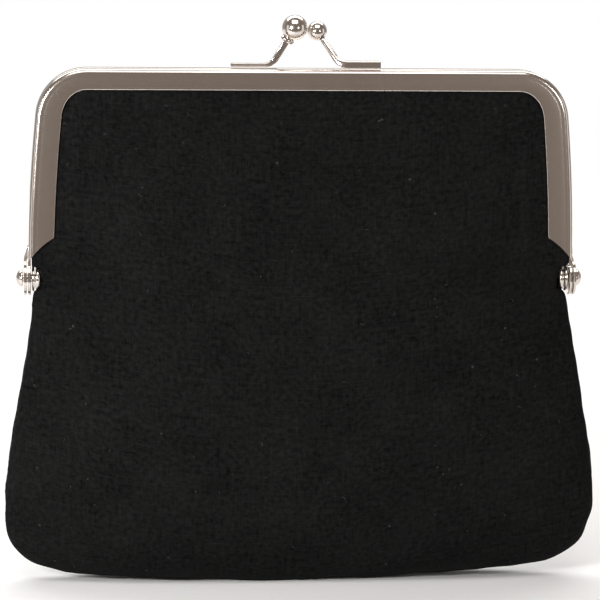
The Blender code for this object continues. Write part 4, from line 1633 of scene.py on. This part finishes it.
    def _kept_apart(self, grid: np.ndarray) -> np.ndarray:
        """Keep points above the floor and on their own side of the parting plane.

        Args:
            grid: points.

        Returns:
            The points, moved where they have to be.
        """
        kept = grid.copy()
        away = np.maximum(grid[:, :, 1] * self.side.value, self.seam_gap(grid[:, :, 2]))
        kept[:, :, 1] = self.side.value * away
        kept[:, :, 2] = np.maximum(grid[:, :, 2], 0.0)
        return kept

    def face(self, layer: Layer, which: int, stride: int) -> np.ndarray:
        """Points of one face of a layer.

        Args:
            layer: the layer.
            which: 0 for its outer face, 1 for its inner one.
            stride: keep every n-th row and column.

        Returns:
            The grid of points.
        """
        depth = layer.pouch[which] + (layer.packed[which] - layer.pouch[which]) * self.packing
        points = self._kept_apart(self.places - self.outward * depth[:, :, None])
        return points[self.kept_rows(stride)][:, ::stride]

    def kept_rows(self, stride: int) -> np.ndarray:
        """Rows that a coarser grid keeps, the last one always."""
        rows = np.arange(0, len(self.places), stride)
        return rows if rows[-1] == len(self.places) - 1 else np.append(rows, len(self.places) - 1)

    def sheet_mesh(self, name: str, layer: Layer, stride: int = 1) -> bpy.types.Mesh:
        """Make the closed body of one layer, with its flat coordinates.

        Args:
            name: name of the mesh.
            layer: the layer.
            stride: 1 for the full grid, 2 for a coarser one.

        Returns:
            The mesh.
        """
        outer, inner = self.face(layer, 0, stride), self.face(layer, 1, stride)
        rows, columns = outer.shape[:2]
        marks = np.arange(rows * columns).reshape(rows, columns)
        quads = grid_quads(marks)
        rim = np.concatenate([marks[0, :-1], marks[:-1, -1], marks[-1, :0:-1], marks[:0:-1, 0]])
        shift = rows * columns
        walls = np.stack([rim, np.roll(rim, -1), np.roll(rim, -1) + shift, rim + shift], axis=1)
        faces = np.concatenate([quads, quads[:, ::-1] + shift, walls])
        mesh = bpy.data.meshes.new(name)
        points = np.concatenate([outer.reshape(-1, 3), inner.reshape(-1, 3)])
        mesh.from_pydata(points.tolist(), [], faces.tolist())
        flat = self.flat[self.kept_rows(stride)][:, ::stride].reshape(-1, 2)
        uv = mesh.uv_layers.new(name="flat")
        loops = np.empty(len(mesh.loops), dtype=int)
        mesh.loops.foreach_get("vertex_index", loops)
        uv.data.foreach_set("uv", np.concatenate([flat, flat])[loops].ravel())
        return mesh

    def seam_path(self) -> np.ndarray:
        """Line of the seam.

        Returns:
            Its points, down the right side, along the base and up the left side.
        """
        grid = self.places
        below = grid[:, 0, 2] < self.seam_top
        right, left = grid[below, -1], grid[below, 0]
        path = np.concatenate([right, grid[-1, -2:0:-1], left[::-1]])
        keep = np.insert(np.linalg.norm(np.diff(path, axis=0), axis=1) > 1e-5, 0, True)
        path = path[keep]
        path[:, 1] = 0.0
        return path


@dataclass
class Panel:
    """Front or back of the pouch: cloth, wadding and lining from the channel to the base."""

    side: Side
    seed: int
    bend_start: float = 80.0 * MM
    bend_end: float = 94.0 * MM
    lint_density: float = 5200.0
    lint_length: float = 0.9 * MM
    lint_radius: float = 0.016 * MM
    lint_margin: int = 8
    lint_floor: float = 4.0 * MM

    def bend(self, piece: bpy.types.Object) -> bpy.types.Object:
        """Bake the piece's placement into its mesh."""
        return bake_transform(piece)

    def layer_piece(self, skin: PouchSkin, layer: Layer, finish: Finish,
                    stride: int) -> bpy.types.Object:
        """Make one layer as a piece that stands for its two CAD nodes.

        Args:
            skin: the panel's outer face.
            layer: the layer.
            finish: its finish.
            stride: 1 for the full grid, 2 for a coarser one.

        Returns:
            The finished piece.
        """
        label = self.side.label
        part = layer.name.lower()
        name = f"{label}_{part}_panel"
        mesh = tidy_mesh(skin.sheet_mesh(name, layer, stride), finish.material(), 70.0)
        piece = new_piece(name, mesh)
        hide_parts(f"{label}_{part}_top", f"pouch_{label}_{part}")
        return self.bend(piece)

    def lint_tree(self) -> GrowthTree:
        """Tree that strews curved fibres over a surface.

        Returns:
            The closed tree.
        """
        tree = GrowthTree("lint", {
            "Density": ("NodeSocketFloat", 1000.0), "Length": ("NodeSocketFloat", 0.001),
            "Radius": ("NodeSocketFloat", 0.00002), "Seed": ("NodeSocketInt", 1),
            "Finish": ("NodeSocketMaterial", None)})
        spread = tree.node("GeometryNodeDistributePointsOnFaces", None, {
            "Mesh": tree.given("Geometry"), "Density": tree.given("Density"), "Seed": tree.given("Seed")})
        middle = tree.value("ShaderNodeCombineXYZ", None, {
            0: 0.0, 1: tree.given("Length") * 0.45, 2: tree.given("Radius") * 3.0})
        fibre = tree.bowed_thread(tree.given("Radius"), middle, 5, 3)
        spin = tree.value("FunctionNodeRandomValue", {"data_type": "FLOAT"},
                          {2: 0.0, 3: math.tau, 8: tree.given("Seed")}, output=1)
        turn = tree.value("FunctionNodeAxisAngleToRotation", None, {"Axis": (0.0, 0.0, 1.0), "Angle": spin})
        aimed = tree.value("FunctionNodeRotateRotation", {"rotation_space": "LOCAL"},
                           {"Rotation": spread.outputs["Rotation"], "Rotate By": turn})
        size = tree.value("FunctionNodeRandomValue", {"data_type": "FLOAT"},
                          {2: 0.25, 3: 1.3, 8: tree.given("Seed")}, output=1)
        tree.close(tree.value("GeometryNodeInstanceOnPoints", None, {
            "Points": spread.outputs["Points"], "Instance": fibre, "Rotation": aimed, "Scale": size}))
        return tree

    def lint(self, skin: PouchSkin) -> bpy.types.Object:
        """Strew lint over the visible face of the cloth.

        Args:
            skin: the panel's outer face.

        Returns:
            The finished piece.
        """
        middle = skin.half_columns
        shown = (skin.packing[:, middle] < 0.5) & (skin.places[:, middle, 2] > self.lint_floor)
        grid = skin.places[shown][:, self.lint_margin:-self.lint_margin]
        quads = grid_quads(np.arange(grid.shape[0] * grid.shape[1]).reshape(grid.shape[:2]))
        a, b, c = (grid.reshape(-1, 3)[mark] for mark in quads[len(quads) // 2][:3])
        if np.cross(b - a, c - b)[1] * self.side.value < 0:
            quads = quads[:, ::-1]
        seed_mesh = bpy.data.meshes.new("lint_bed")
        seed_mesh.from_pydata(grid.reshape(-1, 3).tolist(), [], quads.tolist())
        name = f"{self.side.label}_lint"
        mesh = self.lint_tree().grow(name, seed_mesh, {
            "Density": self.lint_density, "Length": self.lint_length, "Radius": self.lint_radius,
            "Seed": self.seed, "Finish": PALE_LINT.material()})
        piece = new_piece(name, tidy_mesh(mesh, PALE_LINT.material(), 80.0))
        return self.bend(piece)

    def build(self) -> PouchSkin:
        """Build the layers and the lint of this side.

        Returns:
            The panel's outer face.
        """
        skin = PouchSkin(self.side, self.seed)
        self.layer_piece(skin, Layer.CLOTH, BLACK_CLOTH, 1)
        self.layer_piece(skin, Layer.WADDING, FELT, 2)
        self.layer_piece(skin, Layer.LINING, LINING_CLOTH, 1)
        self.lint(skin)
        return skin


@dataclass
class SeamThread:
    """Stitches that close the side and base seam between the two cloth panels."""

    pitch: float = 2.1 * MM
    length: float = 1.5 * MM
    bow: float = 0.22 * MM
    radius: float = 0.11 * MM

    def tree(self) -> GrowthTree:
        """Tree that lays stitches along a path.

        Returns:
            The closed tree.
        """
        tree = GrowthTree("stitches", {
            "Pitch": ("NodeSocketFloat", 0.002), "Length": ("NodeSocketFloat", 0.0015),
            "Bow": ("NodeSocketFloat", 0.0002), "Radius": ("NodeSocketFloat", 0.0001),
            "Finish": ("NodeSocketMaterial", None)})
        marks = tree.node("GeometryNodeCurveToPoints", {"mode": "LENGTH"},
                          {"Curve": tree.rail(), "Length": tree.given("Pitch")})
        middle = tree.value("ShaderNodeCombineXYZ", None, {0: 0.0, 1: 0.0, 2: tree.given("Bow")})
        stitch = tree.bowed_thread(0.0, middle, 4, 6)
        along = tree.value("FunctionNodeAlignRotationToVector", {"axis": "X"},
                           {"Vector": marks.outputs["Tangent"]})
        tree.close(tree.value("GeometryNodeInstanceOnPoints", None,
                              {"Points": marks.outputs["Points"], "Instance": stitch, "Rotation": along}))
        return tree

    def build(self, skin: PouchSkin) -> bpy.types.Object:
        """Sew the seam along a panel's edge.

        Args:
            skin: the outer face of the panel.

        Returns:
            The finished piece.
        """
        mesh = self.tree().grow("seam_thread", line_mesh("seam_path", skin.seam_path()), {
            "Pitch": self.pitch, "Length": self.length, "Bow": self.bow, "Radius": self.radius,
            "Finish": BLACK_THREAD.material()})
        piece = new_piece("seam_thread", tidy_mesh(mesh, BLACK_THREAD.material(), 60.0))
        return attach(piece, "pouch")


# ------------------------------------------------------------------ studio

@dataclass(frozen=True)
class SoftLight:
    """A rectangular lamp: where it stands, what it faces, its width and height, and its power."""

    name: str
    place: Point
    target: Point
    size: tuple[float, float]
    watts: float


LIGHTS = (
    SoftLight("key_softbox", (-0.25, -0.34, 0.17), (-0.04, 0.0, 0.09), (0.09, 0.09), 1.45),
    SoftLight("fill_softbox", (0.32, -0.60, 0.18), (0.0, 0.0, 0.08), (0.07, 0.09), 0.25),
    SoftLight("top_softbox", (-0.03, -0.34, 0.72), (0.0, 0.0, 0.10), (0.55, 0.40), 2.0),
    SoftLight("left_strip", (-0.72, -0.20, 0.16), (0.0, 0.0, 0.10), (0.28, 0.50), 0.35),
    SoftLight("right_strip", (0.72, -0.20, 0.16), (0.0, 0.0, 0.10), (0.28, 0.50), 0.35),
    SoftLight("paper_light", (0.0, 0.70, 1.0), (0.0, 0.75, 0.0), (1.7, 0.8), 14.0))


@dataclass
class Studio:
    """White paper, soft lights, the room around them and the camera."""

    azimuth: float = -5.5
    elevation: float = 8.5
    roll: float = 0.7
    distance: float = 0.85
    focal: float = 184.5
    aim: Point = (-0.0002, 0.0, 0.0781)
    half_width: float = 0.75
    front: float = -0.20
    back: float = 0.95
    room_dim: Point = (0.135, 0.112, 0.098)
    room_bright: Point = (0.325, 0.278, 0.246)
    room_back: Point = (0.40, 0.38, 0.355)
    surround: Point = (1.0, 1.0, 1.0)

    def paper(self) -> bpy.types.Object:
        """Lay the white paper.

        Returns:
            The paper, which isn't part of the purse.
        """
        mesh = bpy.data.meshes.new("studio_paper")
        points = [(x, y, 0.0) for y in (self.front, self.back) for x in (-self.half_width, self.half_width)]
        mesh.from_pydata(points, [], [(0, 1, 3, 2)])
        mesh.materials.append(StudioPaper().material())
        made = bpy.data.objects.new("studio_paper", mesh)
        bpy.context.collection.objects.link(made)
        return made

    def room(self) -> bpy.types.World:
        """Make the dim, warm room that lights and metal see, lighter behind the purse.

        Returns:
            The world, which is plain white where the camera looks straight at it.
        """
        world = bpy.data.worlds.new("studio_room")
        world.use_nodes = True
        sheet = NodeSheet(world.node_tree)
        around = sheet.value("ShaderNodeTexCoord", output="Generated")
        patch = sheet.soft_noise(around, 9.0, 2.0)
        wall = sheet.blend_colour(patch, (*self.room_dim, 1.0), (*self.room_bright, 1.0))
        bearing = Value(sheet, sheet.node("ShaderNodeSeparateXYZ", None, {0: around}).outputs["Y"])
        behind = sheet.value("ShaderNodeMapRange", {"interpolation_type": "SMOOTHSTEP"},
                             {"Value": bearing, "From Min": -0.1, "From Max": 0.75})
        wall = sheet.blend_colour(behind, wall, (*self.room_back, 1.0))
        seen = sheet.value("ShaderNodeLightPath", output="Is Camera Ray")
        air = sheet.blend_colour(seen, wall, (*self.surround, 1.0))
        sheet.node("ShaderNodeOutputWorld", None,
                   {"Surface": sheet.value("ShaderNodeBackground", None, {"Color": air})})
        return world

    def lamp(self, light: SoftLight) -> bpy.types.Object:
        """Add one soft light.

        Args:
            light: its place, target, size and power.

        Returns:
            The light.
        """
        data = bpy.data.lights.new(light.name, "AREA")
        data.shape = "RECTANGLE"
        data.size, data.size_y = light.size
        data.energy = light.watts
        made = bpy.data.objects.new(light.name, data)
        made.location = light.place
        facing = Vector(light.target) - Vector(light.place)
        made.rotation_euler = facing.to_track_quat("-Z", "Y").to_euler()
        bpy.context.collection.objects.link(made)
        return made

    def camera(self) -> bpy.types.Object:
        """Set up the camera.

        Returns:
            The camera.
        """
        a, e = math.radians(self.azimuth), math.radians(self.elevation)
        away = Vector((math.sin(a) * math.cos(e), -math.cos(a) * math.cos(e), math.sin(e)))
        data = bpy.data.cameras.new("camera")
        data.lens, data.sensor_width = self.focal, 36.0
        data.clip_start, data.clip_end = 0.05, 10.0
        data.dof.use_dof = False
        made = bpy.data.objects.new("camera", data)
        made.location = Vector(self.aim) + away * self.distance
        turn = (-away).to_track_quat("-Z", "Y").to_matrix().to_4x4()
        made.rotation_euler = (turn @ Matrix.Rotation(math.radians(self.roll), 4, "Z")).to_euler()
        bpy.context.collection.objects.link(made)
        bpy.context.scene.camera = made
        return made

    def build(self) -> None:
        """Build the studio."""
        self.paper()
        for light in LIGHTS:
            self.lamp(light)
        scene = bpy.context.scene
        scene.world = self.room()
        scene.view_settings.view_transform = "Standard"
        self.camera()


# ------------------------------------------------------------------ the purse

def main() -> None:
    """Build the purse and the studio, and report each piece."""
    logging.basicConfig(level=logging.INFO, format="%(name)s: %(message)s")
    skins: dict[Side, PouchSkin] = {}
    for side, seed in ((Side.FRONT, 11), (Side.BACK, 23)):
        HalfFrame(side).build()
        PaperCord(side).build()
        ClaspHalf(side).build()
        skins[side] = Panel(side, seed).build()
    for label, mirror in (("left", -1.0), ("right", 1.0)):
        HingePin(label, mirror).build()
    SeamThread().build(skins[Side.FRONT])
    Studio().build()


if __name__ == "__main__":
    main()
